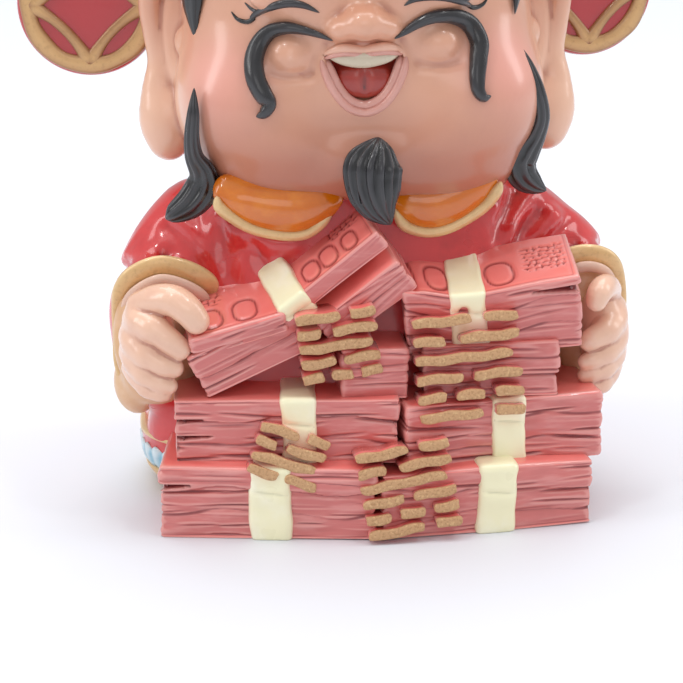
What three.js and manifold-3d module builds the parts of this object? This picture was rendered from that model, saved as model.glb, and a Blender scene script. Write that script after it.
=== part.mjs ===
// Small cast figure of the Chinese god of wealth behind his banknotes, one solid casting.
// Millimetres, +Z up, the figure faces -Y. The finished solid is moved so that the centre of
// its box stands on the origin.

import * as THREE from 'three';
import { mergeVertices } from 'three/addons/utils/BufferGeometryUtils.js';
import Module from 'manifold-3d';

const wasm = await Module();
wasm.setup();

// Driving dimensions of the head, in its own frame before it is turned
const CHIN_Z = 55.6;
const JOWL_Z = 72;
const JOWL_HALF_WIDTH = 31.6;
const SKULL_TOP_Z = 122;
const FACE_FRONT = 20;
const SKULL_BACK = 24;
const HEAD_OFFSET_X = 0.2;
const HEAD_TURN = THREE.MathUtils.degToRad(-4);
const HEAD_ROLL = THREE.MathUtils.degToRad(-1);
const HEAD_PIVOT_Z = 84;
const ROUND_BOX_POWER = 2.3;

// Driving dimensions of the face
const NOSE_Z = 86.6;
const NOSE_RADIUS = 4.3;
const NOSTRIL_RADIUS = 2.7;
const CHEEK_X = 12.2;
const CHEEK_Z = 81.5;
const CHEEK_RADIUS = 5.8;
const CHEEK_RISE = 1;
const EYE_X = 13.2;
const EYE_Z = 89;
const EYE_HALF_WIDTH = 6;
const EYE_ARCH = 2.6;
const LINE_RADIUS = 0.75;
const MOUTH_Z = 81;
const MOUTH_HALF_WIDTH = 7;
const MOUTH_DROP = 8;
const MOUTH_DEPTH = 3.2;
const TEETH_HEIGHT = 2.4;
const LIP_RADIUS = 1.1;
const MOUSTACHE_RADIUS = 1.5;
const MOUSTACHE_ROUTE = [
  [3.6, 85.2, 0.4],
  [8.5, 87.8, 0.85],
  [13.6, 88.4, 1],
  [18, 86, 0.95],
  [19.9, 81.6, 0.85],
  [18.9, 77.6, 0.8],
  [18.5, 74.2, 0.7],
  [19.2, 72.6, 0.4],
];
const GOATEE_TOP_Z = 67.5;
const GOATEE_TIP_Z = 54.5;
const GOATEE_HALF_WIDTH = 6;

// Driving dimensions of ears and hair
const EAR_OFFSET = 1.8;
const EAR_Y = 4;
const EAR_TOP_Z = 95;
const EAR_LOBE_Z = 59.5;
const EAR_HALF_WIDTH = 4.9;
const EAR_THICKNESS = 8;
const LOCK_HALF_WIDTH = 3.6;

// Sideburns and side locks: distance inside the jowl's width, depth, height and radius
const SIDEBURN_ROUTE = [
  [4.4, -8.2, 98, 2.8],
  [3.8, -8.4, 90, 2.4],
  [3.2, -8.8, 84, 1.6],
  [2.8, -9, 77, 0.9],
];
const LOCK_ROUTE = [
  [2.8, -9, 78, 0.25],
  [3, -9.4, 70, 0.55],
  [3, -10, 64.8, 0.7],
  [3.4, -11, 60, 1],
  [1.8, -11.4, 56, 0.85],
  [-2, -10.6, 52.6, 0.25],
];

// Driving dimensions of the hat
const BRIM_FRONT_Z = 101;
const BRIM_SLOPE = 0.35;
const BRIM_STAND = 2.6;
const BRIM_BAND = 6.5;
const CROWN_TOP_Z = 126;
const KNOT_RISE = 14;
const KNOT_SINK = 14;
const KNOT_HALF_WIDTH = 17;
const KNOT_HALF_DEPTH = 11.5;
const KNOT_Y = 8;
const JEWEL_RADIUS = 4.2;
const JEWEL_RISE = 2.4;

// Driving dimensions of the two round hat wings
const WING_LEFT = { x: -45.6, z: 85.2, radius: 12.9 };
const WING_RIGHT = { x: 43.9, z: 86, radius: 12.3 };
const WING_Y = 16;
const WING_THICKNESS = 6.4;
const WING_TURN = THREE.MathUtils.degToRad(8);
const WING_RIM = 2.2;
const WING_FLOOR_SHARE = 0.86;
const RING_WIDTH = 2;
const RING_RISE = 0.7;
const STEM_RADIUS = 3.2;

// Driving dimensions of the robe
const ROBE_X = -0.8;
const HEM_Z = 9;
const HEM_HALF_WIDTH = 38.4;
const HEM_BACK = 29;
const FOOT_HALF_WIDTH = 33;
const WAIST_Z = 32;
const WAIST_HALF_WIDTH = 35;
const SHOULDER_Z = 48;
const SHOULDER_HALF_WIDTH = 34;
const CHEST_FRONT = 18;
const NECK_Z = 60;
const FOLD_COUNT = 11;
const FOLD_DEPTH = 0.9;
const COLLAR_THICKNESS = 1.9;
const COLLAR_DEPTH = 4.6;
const COLLAR_SWELL = [0.3, 0.8, 1, 0.8, 0.3];
const COLLAR_LOBES = [
  [[-27.4, 56.4], [-22, 54.2], [-15, 53.6], [-8, 54.8], [-3, 57]],
  [[24.4, 56], [20, 53.8], [14, 53.4], [8, 54.6], [4, 56.8]],
];
const PIPING_RADIUS = 1.2;

// Driving dimensions of sleeves and hands, one entry for each side
const SLEEVE_RADIUS = 8;
const CUFF_BAND = 3;
const CUFF_WALL = 1.6;
const FINGER_RADIUS = 2.6;
const THUMB_RADIUS = 2.9;
const ARMS = [
  {
    side: -1,
    shoulder: [-25.5, 3, 44],
    elbow: [-34, 0.5, 38.5],
    cuff: [-36, -9, 31.5],
    mouthHalf: [8.2, 14.6],
    palm: [-36.4, -17.2, 31],
    palmHalf: [7.2, 7.4, 9],
    knuckle: [-41.2, -19, 35],
    fingertip: [-30.8, -24, 28],
    fingerStep: [0.5, 0.7, -3.8],
    thumb: [[-38.5, -20.5, 37.6], [-33.5, -25, 38.2], [-29.6, -25.2, 35.4]],
  },
  {
    side: 1,
    shoulder: [28, 3, 44.5],
    elbow: [37.4, 0.5, 39],
    cuff: [39.8, -8, 32],
    mouthHalf: [7.4, 13],
    palm: [41.6, -15, 30.6],
    palmHalf: [5.4, 7.4, 9],
    knuckle: [45.4, -17.5, 33.5],
    fingertip: [38.4, -22.5, 31],
    fingerStep: [-0.3, 0.6, -3.7],
    thumb: [[43.6, -18, 38.6], [41, -22.6, 38.8], [38.2, -24, 37]],
  },
];

// Driving dimensions of the banknotes. Each bundle starts at the front top corner on its left
// and runs to the right, back and down from there.
const LAYER_HEIGHT = 3.75;
const GROOVE = 0.55;
const LAYER_SHIFT = 0.35;
const LAYER_DEPTH = 9;
const GAP_SHARE = 0.2;
const BAND_THICKNESS = 0.6;
const BUNDLES = [
  { corner: [-37.4, -27.6, 12.8], size: [37.4, 34, 12.8], turn: -9.7, tilt: 0, band: [15.6, 7.2] },
  { corner: [0.2, -34, 11.8], size: [38, 34, 11.8], turn: 5.5, tilt: 0, band: [17.2, 6.7] },
  { corner: [-34.9, -26, 24.3], size: [38.5, 30, 12.1], turn: -6, tilt: 0, band: [18.5, 6.4] },
  { corner: [5.8, -30.5, 23], size: [34.6, 30, 11.8], turn: 7, tilt: 0, band: [14.4, 6.5] },
  { corner: [-9.5, -27.2, 32], size: [19.4, 24, 8.2], turn: 0, tilt: 4, band: null },
  { corner: [8, -26.4, 32.4], size: [25.6, 22, 10], turn: -2, tilt: 1, band: null },
  { corner: [9, -26, 40.6], size: [26.4, 20, 13.2], turn: -5, tilt: 10.5, band: [6.3, 7.4] },
  { corner: [-31.8, -26.5, 34.7], size: [34, 27, 11.8], turn: -1, tilt: 15.5, band: [12.6, 5.6] },
  { corner: [-13, -26.6, 36], size: [21.5, 19, 6.6], turn: 1, tilt: 35.4, band: null },
  { corner: [-13.9, -25, 39.2], size: [20.2, 18.5, 3.4], turn: 1, tilt: 43.5, band: null },
];

// Solid resin behind and between the bundles: its sides, its front and back, its top
const CORE_SIDES = [-30, 32];
const CORE_DEPTHS = [-23.4, 2];
const CORE_TOP = 33;

// Rows of raised strokes in four places on the bundles. Each place has its centre, its half
// width and height, its roll in the front face and how far it leans back at the top.
const STROKE_RISE = 1.3;
const STROKE_HALF_HEIGHT = 0.85;
const STROKE_SINK = 4.5;
const STROKE_PLACES = [
  { at: [-6.5, -27.1, 34.2], half: [7, 6], roll: 8, lean: 0, rows: 3 },
  { at: [15.4, -28.6, 30], half: [9, 8.2], roll: 6, lean: 9, rows: 4 },
  { at: [-16.5, -30.2, 17], half: [6.6, 5.8], roll: -20, lean: 12, rows: 3 },
  { at: [3.9, -33, 10.2], half: [8, 7.2], roll: 8, lean: 10, rows: 4 },
];
const STROKE_ROWS = [
  [0.56, 0.3],
  [0.3, 0.54],
  [0.42, 0.46],
  [0.88],
];

// Closed three.js geometry as a solid for joining and cutting
function solid(geometry) {
  const plain = geometry.clone();
  plain.deleteAttribute('normal');
  plain.deleteAttribute('uv');
  const merged = mergeVertices(plain, 1e-4);
  const index = merged.index.array;
  const faces = [];
  for (let i = 0; i < index.length; i += 3) {
    const [a, b, c] = [index[i], index[i + 1], index[i + 2]];
    if (a !== b && b !== c && c !== a) {
      faces.push(a, b, c);
    }
  }
  return new wasm.Manifold(
    new wasm.Mesh({
      numProp: 3,
      vertProperties: new Float32Array(merged.attributes.position.array),
      triVerts: new Uint32Array(faces),
    }),
  );
}

// Moves every vertex of a geometry by a rule
function reshape(geometry, rule) {
  const position = geometry.attributes.position;
  const point = new THREE.Vector3();
  for (let i = 0; i < position.count; i += 1) {
    point.fromBufferAttribute(position, i);
    rule(point);
    position.setXYZ(i, point.x, point.y, point.z);
  }
  return geometry;
}

// Sphere whose poles lie on the Z axis
function uprightSphere(around, levels) {
  return new THREE.SphereGeometry(1, around, levels).rotateX(Math.PI / 2);
}

function ellipsoid(centre, radii, around = 12, levels = 8) {
  return uprightSphere(around, levels)
    .scale(radii[0], radii[1], radii[2])
    .translate(centre[0], centre[1], centre[2]);
}

// Smooth curve through rows of numbers, the first number of each row being its height
function heightTable(rows) {
  const heights = rows.map((row) => row[0]);
  const values = rows.flatMap((row) => row.slice(1));
  const table = new THREE.CubicInterpolant(heights, values, rows[0].length - 1);
  return (z) => Array.from(table.evaluate(z));
}

// Rounded body given by its half-width, front depth and back depth at each height
function lofted(rows, around, levels) {
  const at = heightTable(rows);
  const low = rows[0][0];
  const high = rows[rows.length - 1][0];
  return reshape(uprightSphere(around, levels), (p) => {
    const turn = Math.atan2(p.y, p.x);
    const atPole = 1 - p.z * p.z < 1e-6;
    const z = low + ((high - low) * (p.z + 1)) / 2;
    const [width, front, back] = at(z);
    const depth = p.y < 0 ? front : back;
    const c = Math.cos(turn);
    const s = Math.sin(turn);
    const reach = Math.abs(c) ** ROUND_BOX_POWER + Math.abs(s) ** ROUND_BOX_POWER;
    const push = atPole ? 0 : reach ** (-1 / ROUND_BOX_POWER);
    p.set(c * push * width, s * push * depth, z);
  });
}

// Tapering strand through stations [x, y, z, radius]: a sphere drawn out along their curve,
// flatter towards `outward`
function strand(stations, { sides = 6, steps = 8, flat = 1, outward = [0, -1, 0], blunt = 0.6 } = {}) {
  const curve = new THREE.CatmullRomCurve3(stations.map(([x, y, z]) => new THREE.Vector3(x, y, z)));
  const radii = stations.map(([, , , radius]) => radius);
  const places = radii.map((radius, i) => i / (radii.length - 1));
  const radiusAt = new THREE.LinearInterpolant(places, radii, 1);
  const out = new THREE.Vector3(...outward).normalize();
  return reshape(uprightSphere(sides, steps), (p) => {
    const s = THREE.MathUtils.clamp((p.z + 1) / 2, 0, 1);
    const ring = Math.sqrt(Math.max(1 - p.z * p.z, 0));
    const atPole = ring < 1e-4;
    const turn = Math.atan2(p.y, p.x);
    const radius = atPole ? 0 : radiusAt.evaluate(s)[0] * ring ** blunt;
    const tangent = curve.getTangent(s);
    const side = new THREE.Vector3().crossVectors(tangent, out).normalize();
    const rise = new THREE.Vector3().crossVectors(tangent, side);
    p.copy(curve.getPoint(s))
      .addScaledVector(side, Math.cos(turn) * radius)
      .addScaledVector(rise, Math.sin(turn) * radius * flat);
  });
}

function union(solids) {
  return solids.reduce((whole, next) => whole.add(next));
}

// Repeatable number between -1 and 1 for a place in a row
function scatter(a, b) {
  const wave = Math.sin(a * 12.9898 + b * 78.233) * 43758.5453;
  return 2 * (wave - Math.floor(wave)) - 1;
}

// Head

const headRows = [
  [CHIN_Z, 0, 0, 0],
  [CHIN_Z + 0.8, 18, 13, 8],
  [CHIN_Z + 2.8, 24, 16.6, 12],
  [CHIN_Z + 6.4, JOWL_HALF_WIDTH - 3.6, FACE_FRONT - 1.4, 16],
  [CHIN_Z + 11, JOWL_HALF_WIDTH - 0.9, FACE_FRONT - 0.6, 18.5],
  [JOWL_Z, JOWL_HALF_WIDTH, FACE_FRONT - 0.2, 20.5],
  [JOWL_Z + 7, JOWL_HALF_WIDTH - 0.6, FACE_FRONT, SKULL_BACK - 1],
  [JOWL_Z + 18, JOWL_HALF_WIDTH - 2, FACE_FRONT - 0.6, SKULL_BACK],
  [JOWL_Z + 30, JOWL_HALF_WIDTH - 3.4, FACE_FRONT - 1.6, SKULL_BACK],
  [SKULL_TOP_Z - 8, 21, 15.5, SKULL_BACK - 5],
  [SKULL_TOP_Z - 2.5, 11, 8, 10],
  [SKULL_TOP_Z, 0, 0, 0],
];
const headAt = heightTable(headRows);

// Depth of the face's own surface at a place, for what lies on it
function faceY(x, z) {
  const [width, front] = headAt(z);
  const share = Math.min(Math.abs(x) / width, 0.98);
  return -front * (1 - share ** ROUND_BOX_POWER) ** (1 / ROUND_BOX_POWER);
}

function onFace(x, z, lift = 0) {
  return [x, faceY(x, z) - lift, z];
}

function face() {
  const parts = [solid(lofted(headRows, 24, 15))];
  for (const side of [-1, 1]) {
    parts.push(solid(ellipsoid(
      onFace(side * CHEEK_X, CHEEK_Z, -1.6 * CHEEK_RISE),
      [CHEEK_RADIUS, 2.6 * CHEEK_RISE, CHEEK_RADIUS * 0.8],
      8,
      6,
    )));
    parts.push(solid(ellipsoid(
      onFace(side * NOSE_RADIUS, NOSE_Z - 0.7, -0.2),
      [NOSTRIL_RADIUS, NOSTRIL_RADIUS * 1.1, NOSTRIL_RADIUS * 0.85],
      6,
      5,
    )));
  }
  parts.push(solid(ellipsoid(
    onFace(0, NOSE_Z, -0.3),
    [NOSE_RADIUS, NOSE_RADIUS, NOSE_RADIUS * 0.82],
    8,
    6,
  )));
  let whole = union(parts);

  // Open laughing mouth: a dish with a nearly straight upper edge
  const cavity = reshape(uprightSphere(12, 6), (p) => {
    const level = p.z > 0 ? 0.12 : 1;
    p.set(
      p.x * MOUTH_HALF_WIDTH,
      faceY(0, MOUTH_Z) + p.y * MOUTH_DEPTH,
      MOUTH_Z + p.z * MOUTH_DROP * level,
    );
  });
  whole = whole.subtract(solid(cavity));
  const tongue = ellipsoid(
    [0, faceY(0, MOUTH_Z) + MOUTH_DEPTH * 0.8, MOUTH_Z - MOUTH_DROP * 0.8],
    [MOUTH_HALF_WIDTH * 0.6, MOUTH_DEPTH * 0.7, MOUTH_DROP * 0.4],
    6,
    4,
  );
  const teeth = ellipsoid(
    [0, faceY(0, MOUTH_Z) + MOUTH_DEPTH * 0.55, MOUTH_Z - 0.4],
    [MOUTH_HALF_WIDTH * 0.86, MOUTH_DEPTH * 0.5, TEETH_HEIGHT],
    8,
    4,
  );
  return union([whole, solid(tongue), solid(teeth)]);
}

function lips() {
  const upper = [-1, -0.5, 0, 0.5, 1].map((s) =>
    [...onFace(s * (MOUTH_HALF_WIDTH + 0.8), MOUTH_Z + 1 - 0.6 * s * s, 0.2), LIP_RADIUS]);
  const lower = [-1, -0.8, -0.4, 0, 0.4, 0.8, 1].map((s) => [
    ...onFace(s * (MOUTH_HALF_WIDTH + 0.5), MOUTH_Z - (MOUTH_DROP + 0.4) * Math.sqrt(1 - s * s), 0.1),
    LIP_RADIUS,
  ]);
  return [
    solid(strand(upper, { sides: 4, steps: 5 })),
    solid(strand(lower, { sides: 4, steps: 8 })),
  ];
}

function eyelids() {
  const parts = [];
  for (const side of [-1, 1]) {
    const lid = [-1, -0.5, 0, 0.5, 1].map((s) => [
      ...onFace(side * EYE_X + s * EYE_HALF_WIDTH, EYE_Z + EYE_ARCH * (1 - s * s), 0.1),
      LINE_RADIUS,
    ]);
    parts.push(solid(strand(lid, { sides: 4, steps: 6 })));
  }
  return parts;
}

function beard() {
  const parts = [];
  for (const side of [-1, 1]) {
    const route = MOUSTACHE_ROUTE.map(([x, z, share]) => [
      ...onFace(side * x, z, 0.5),
      MOUSTACHE_RADIUS * share,
    ]);
    parts.push(solid(strand(route, { sides: 4, steps: 10, flat: 0.8 })));
  }
  const length = GOATEE_TOP_Z - GOATEE_TIP_Z;
  const goatee = [
    [...onFace(0.4, GOATEE_TOP_Z, -0.4), GOATEE_HALF_WIDTH * 0.5],
    [...onFace(-0.4, GOATEE_TOP_Z - 0.36 * length, 1), GOATEE_HALF_WIDTH],
    [...onFace(0.4, GOATEE_TOP_Z - 0.68 * length, 2.4), GOATEE_HALF_WIDTH * 0.8],
    [3.4, -FACE_FRONT - 3, GOATEE_TIP_Z, GOATEE_HALF_WIDTH * 0.2],
  ];
  parts.push(solid(strand(goatee, { sides: 8, steps: 7, flat: 0.5 })));
  return parts;
}

function ears() {
  const parts = [];
  const middle = (EAR_TOP_Z + EAR_LOBE_Z) / 2;
  const halfHeight = (EAR_TOP_Z - EAR_LOBE_Z) / 2;
  for (const side of [-1, 1]) {
    const ear = reshape(uprightSphere(8, 8), (p) => {
      const waist = 1 - 0.16 * Math.cos(2.2 * p.z + 0.7);
      p.set(
        side * (JOWL_HALF_WIDTH + EAR_OFFSET + 0.8 * p.z) + (p.x * EAR_HALF_WIDTH * waist) / 0.92,
        EAR_Y + (p.y * EAR_THICKNESS) / 2,
        middle + p.z * halfHeight,
      );
    });
    const bowl = ellipsoid(
      [side * (JOWL_HALF_WIDTH + EAR_OFFSET + 0.6), EAR_Y - EAR_THICKNESS / 2, middle + halfHeight * 0.3],
      [EAR_HALF_WIDTH * 0.5, 1.6, halfHeight * 0.5],
      6,
      5,
    );
    parts.push(solid(ear).subtract(solid(bowl)));
  }
  return parts;
}

function hair() {
  const parts = [];
  for (const side of [-1, 1]) {
    parts.push(solid(strand(
      SIDEBURN_ROUTE.map(([inset, y, z, radius]) => [side * (JOWL_HALF_WIDTH - inset), y, z, radius]),
      { sides: 5, steps: 4 },
    )));
    parts.push(solid(strand(
      LOCK_ROUTE.map(([inset, y, z, share]) => [
        side * (JOWL_HALF_WIDTH - inset),
        y,
        z,
        share * LOCK_HALF_WIDTH,
      ]),
      { sides: 5, steps: 8, flat: 0.75 },
    )));
  }
  return parts;
}

// Hat

// Everything above a plane that falls from the forehead to the nape
function aboveSlope(frontZ) {
  const block = new THREE.BoxGeometry(120, 120, 80).translate(0, 0, 40);
  block.rotateX(-Math.atan(BRIM_SLOPE)).translate(0, -FACE_FRONT, frontZ);
  return solid(block);
}

function hat() {
  const [brimTopWidth, brimTopFront, brimTopBack] = headAt(BRIM_FRONT_Z);
  const crownRows = [
    [BRIM_FRONT_Z - 30, 20, 14, 16],
    [BRIM_FRONT_Z - 18, brimTopWidth + 1.2, brimTopFront, brimTopBack + 1.6],
    [BRIM_FRONT_Z, brimTopWidth + 1.6, brimTopFront + 1.6, brimTopBack + 1.6],
    [BRIM_FRONT_Z + 10, brimTopWidth, brimTopFront + 0.4, brimTopBack],
    [CROWN_TOP_Z - 7, brimTopWidth * 0.82, brimTopFront * 0.8, brimTopBack * 0.8],
    [CROWN_TOP_Z - 1.6, brimTopWidth * 0.4, brimTopFront * 0.38, brimTopBack * 0.4],
    [CROWN_TOP_Z, 0, 0, 0],
  ];
  const crown = solid(lofted(crownRows, 22, 9)).intersect(aboveSlope(BRIM_FRONT_Z));
  const bandRows = [
    [BRIM_FRONT_Z - 24, brimTopWidth, brimTopFront, brimTopBack],
    [BRIM_FRONT_Z - 12, brimTopWidth + BRIM_STAND + 1.2, brimTopFront, brimTopBack + BRIM_STAND],
    [BRIM_FRONT_Z + 2, brimTopWidth + BRIM_STAND, brimTopFront + BRIM_STAND, brimTopBack + BRIM_STAND],
    [BRIM_FRONT_Z + BRIM_BAND + 2, brimTopWidth + 1.6, brimTopFront + 2, brimTopBack + 1.4],
  ];
  const band = solid(lofted(bandRows, 22, 5)).intersect(aboveSlope(BRIM_FRONT_Z - 1));
  const bandCut = band.subtract(aboveSlope(BRIM_FRONT_Z - 1 + BRIM_BAND));
  const knotLow = CROWN_TOP_Z - KNOT_SINK;
  const knotHeight = KNOT_RISE + KNOT_SINK;
  const knotRows = [
    [0, 0.9],
    [5 / 14, 1],
    [6 / 7, 0.9],
    [27 / 28, 0.6],
    [1, 0],
  ].map(([share, size]) => [
    knotLow + knotHeight * share,
    KNOT_HALF_WIDTH * size,
    KNOT_HALF_DEPTH * size,
    KNOT_HALF_DEPTH * size,
  ]);
  const knot = lofted(knotRows, 14, 7).translate(0, KNOT_Y, 0);
  const jewelZ = BRIM_FRONT_Z + BRIM_BAND * 0.8;
  const jewel = ellipsoid(
    [0, -brimTopFront - BRIM_STAND, jewelZ],
    [JEWEL_RADIUS, JEWEL_RISE, JEWEL_RADIUS],
    10,
    6,
  );
  return [crown, bandCut, solid(knot), solid(jewel)];
}

function turnHead(whole) {
  const turn = new THREE.Matrix4()
    .makeTranslation(HEAD_OFFSET_X, 0, HEAD_PIVOT_Z)
    .multiply(new THREE.Matrix4().makeRotationY(HEAD_ROLL))
    .multiply(new THREE.Matrix4().makeRotationZ(HEAD_TURN))
    .multiply(new THREE.Matrix4().makeTranslation(0, 0, -HEAD_PIVOT_Z));
  return whole.transform(turn.elements);
}

// Round wings of the hat with the pattern of an old coin

function wing({ x, z, radius }) {
  const half = WING_THICKNESS / 2;
  const front = half * WING_FLOOR_SHARE;
  const profile = [
    [0, -half],
    [radius - WING_RIM, -half],
    [radius, -half * 0.35],
    [radius, half * 0.35],
    [radius - WING_RIM, half],
    [radius - WING_RIM, front + RING_RISE],
    [radius - WING_RIM - RING_WIDTH, front + RING_RISE],
    [radius - WING_RIM - RING_WIDTH, front],
    [0, front],
  ];
  const points = profile.map(([r, y]) => new THREE.Vector2(r, y));
  const disc = new THREE.LatheGeometry(points, 18).rotateX(Math.PI);

  // A hollow-sided square made of four bows, whose corners reach the ring
  const bows = (reach, dip) => {
    const outline = new THREE.Shape();
    outline.moveTo(reach, 0);
    for (let quarter = 1; quarter <= 4; quarter += 1) {
      const turn = (quarter * Math.PI) / 2;
      const middle = turn - Math.PI / 4;
      outline.quadraticCurveTo(
        dip * Math.cos(middle),
        dip * Math.sin(middle),
        reach * Math.cos(turn),
        reach * Math.sin(turn),
      );
    }
    return outline;
  };
  const reach = radius - WING_RIM - RING_WIDTH / 2;
  const square = bows(reach, reach * 0.46);
  square.holes.push(bows(reach - RING_WIDTH * 1.9, (reach - RING_WIDTH * 1.9) * 0.3));
  const pattern = new THREE.ExtrudeGeometry(square, {
    depth: RING_RISE + 0.6,
    bevelEnabled: false,
    curveSegments: 3,
  });
  pattern.rotateX(Math.PI / 2).translate(0, -front + 0.6, 0);
  const side = Math.sign(x);
  const turn = new THREE.Matrix4()
    .makeTranslation(x, WING_Y, z)
    .multiply(new THREE.Matrix4().makeRotationZ(side * WING_TURN));
  const stem = strand(
    [
      [x - side * radius * 0.7, WING_Y, z + 0.6, STEM_RADIUS],
      [side * 28, WING_Y - 1, z + 2, STEM_RADIUS],
      [side * 18, WING_Y - 4, z + 4, STEM_RADIUS],
    ],
    { sides: 8, steps: 4 },
  );
  return [union([solid(disc), solid(pattern)]).transform(turn.elements), solid(stem)];
}

// Robe, collar and sleeves

const robeRows = [
  [-6, 20, 14, 14],
  [0, FOOT_HALF_WIDTH, CHEST_FRONT, HEM_BACK - 6],
  [HEM_Z / 2, HEM_HALF_WIDTH - 1.6, CHEST_FRONT, HEM_BACK - 1],
  [HEM_Z, HEM_HALF_WIDTH, CHEST_FRONT, HEM_BACK],
  [HEM_Z + 9, HEM_HALF_WIDTH - 1.6, CHEST_FRONT + 1, HEM_BACK - 1],
  [WAIST_Z, WAIST_HALF_WIDTH, CHEST_FRONT + 1.4, HEM_BACK - 3.5],
  [SHOULDER_Z - 6, SHOULDER_HALF_WIDTH - 0.6, CHEST_FRONT + 1, HEM_BACK - 5],
  [SHOULDER_Z, SHOULDER_HALF_WIDTH - 3.5, CHEST_FRONT - 0.5, HEM_BACK - 7],
  [NECK_Z - 5, 24, CHEST_FRONT - 3.5, HEM_BACK - 11],
  [NECK_Z, 16, 11, 13],
  [NECK_Z + 3, 0, 0, 0],
];
const robeAt = heightTable(robeRows);

function chestY(x, z) {
  const [width, front] = robeAt(z);
  const share = Math.min(Math.abs(x - ROBE_X) / width, 0.98);
  return -front * (1 - share ** ROUND_BOX_POWER) ** (1 / ROUND_BOX_POWER);
}

function robe() {
  const body = lofted(robeRows, 22, 12).translate(ROBE_X, 0, 0);

  // Shallow folds run down the back and sides of the skirt
  reshape(body, (p) => {
    const turn = Math.atan2(p.y, p.x - ROBE_X);
    const fall = THREE.MathUtils.smoothstep(SHOULDER_Z - p.z, 0, SHOULDER_Z - HEM_Z);
    const push = 1 + (FOLD_DEPTH / HEM_HALF_WIDTH) * Math.cos(turn * FOLD_COUNT) * fall;
    p.set(ROBE_X + (p.x - ROBE_X) * push, p.y * push, p.z);
  });
  return solid(body);
}

function collar() {
  const parts = [];
  for (const route of COLLAR_LOBES) {
    const points = route.map(([x, z]) => [x, chestY(x, z) + 0.6, z]);
    parts.push(solid(strand(
      points.map((point, i) => [...point, COLLAR_DEPTH * COLLAR_SWELL[i]]),
      { sides: 6, steps: 6, flat: (COLLAR_THICKNESS + 0.6) / COLLAR_DEPTH },
    )));
    const edge = route.map(([x, z], i) => {
      const drop = COLLAR_DEPTH * 0.9 * Math.sin((Math.PI * i) / (route.length - 1));
      return [x, chestY(x, z - drop) - 0.7, z - drop, PIPING_RADIUS];
    });
    parts.push(solid(strand(edge, { sides: 4, steps: 8 })));
  }
  return parts;
}

function arm(shape) {
  const { side, shoulder, elbow, cuff, mouthHalf, palm, palmHalf } = shape;
  const { knuckle, fingertip, fingerStep, thumb } = shape;
  const sleeve = strand(
    [
      [side * 16, 5, 43, SLEEVE_RADIUS * 0.8],
      [...shoulder, SLEEVE_RADIUS * 0.92],
      [...elbow, SLEEVE_RADIUS],
      [cuff[0], cuff[1] + 1.5, cuff[2] + 2, SLEEVE_RADIUS * 0.9],
    ],
    { sides: 8, steps: 6, blunt: 0.45, outward: [side, 0, 0.4] },
  );

  // Hanging sleeve mouth: a flattened ring, longer below than above
  const mouthTurn = new THREE.Matrix4()
    .makeTranslation(...cuff)
    .multiply(new THREE.Matrix4().makeRotationZ(side * 0.2))
    .multiply(new THREE.Matrix4().makeRotationX(-0.12));
  const droop = (z) => (z < 0 ? mouthHalf[1] : mouthHalf[0] * 1.5);
  const oval = (grow, from, to) => reshape(
    new THREE.CylinderGeometry(1, 1, to - from, 14),
    (p) => p.set(p.x * (mouthHalf[0] + grow), p.y + (from + to) / 2, p.z * (droop(p.z) + grow)),
  ).applyMatrix4(mouthTurn);
  const bag = reshape(uprightSphere(8, 6), (p) => {
    p.set(p.x * mouthHalf[0] * 0.98, p.y * 10 + 2.4, p.z * droop(p.z) * 0.98);
  }).applyMatrix4(mouthTurn);
  const cuffBand = solid(oval(0.4, -CUFF_BAND, 0.4));
  const opening = solid(oval(-CUFF_WALL, -CUFF_BAND - 2, -CUFF_BAND + 1.4));

  // Closed fist: four fingers lie side by side round the front of the palm
  const bend = knuckle.map((value, axis) => (value + fingertip[axis]) / 2);
  bend[1] -= FINGER_RADIUS;
  const fingers = [0, 1, 2, 3].map((finger) => {
    const move = (p) => p.map((value, axis) => value + fingerStep[axis] * finger);
    const stations = [knuckle, bend, fingertip].map((p) => [...move(p), FINGER_RADIUS]);
    return solid(strand(stations, { sides: 5, steps: 4, blunt: 0.45 }));
  });
  const thumbStations = thumb.map((p, i) => [...p, THUMB_RADIUS * (1.1 - 0.12 * i)]);
  return [
    solid(sleeve).add(solid(bag)).add(cuffBand).subtract(opening),
    solid(ellipsoid(palm, palmHalf, 8, 7)),
    ...fingers,
    solid(strand(thumbStations, { sides: 6, steps: 5, blunt: 0.5 })),
  ];
}

// Banknotes

function bundle({ corner, size, turn, tilt, band }, number) {
  const [length, depth, height] = size;
  const layers = Math.max(2, Math.round(height / LAYER_HEIGHT));
  const layer = height / layers;
  const gap = layer * GAP_SHARE;

  // A plain block behind, with loose layers of notes in front of it
  const block = new THREE.BoxGeometry(length - 2 * GROOVE, depth - GROOVE, height - gap);
  block.translate(length / 2, (depth + GROOVE) / 2, -height / 2);
  const parts = [solid(block)];
  for (let i = 0; i < layers; i += 1) {
    const sheet = new THREE.BoxGeometry(length - 2 * LAYER_SHIFT, LAYER_DEPTH, layer - gap);
    sheet.translate(
      length / 2 + LAYER_SHIFT * scatter(number, i),
      LAYER_DEPTH / 2 + LAYER_SHIFT * scatter(i, number + 7),
      -layer * (i + 0.5) + (gap / 2) * (1 - (2 * i) / (layers - 1)),
    );
    parts.push(solid(sheet));
  }
  if (band) {
    const [start, width] = band;
    const wrap = new THREE.BoxGeometry(width, depth + 2 * BAND_THICKNESS, height + 2 * BAND_THICKNESS);
    wrap.translate(start + width / 2, depth / 2, -height / 2);
    parts.push(solid(wrap));
  }
  const place = new THREE.Matrix4()
    .makeTranslation(...corner)
    .multiply(new THREE.Matrix4().makeRotationZ(THREE.MathUtils.degToRad(turn)))
    .multiply(new THREE.Matrix4().makeRotationY(THREE.MathUtils.degToRad(-tilt)));
  return union(parts).transform(place.elements);
}

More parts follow.
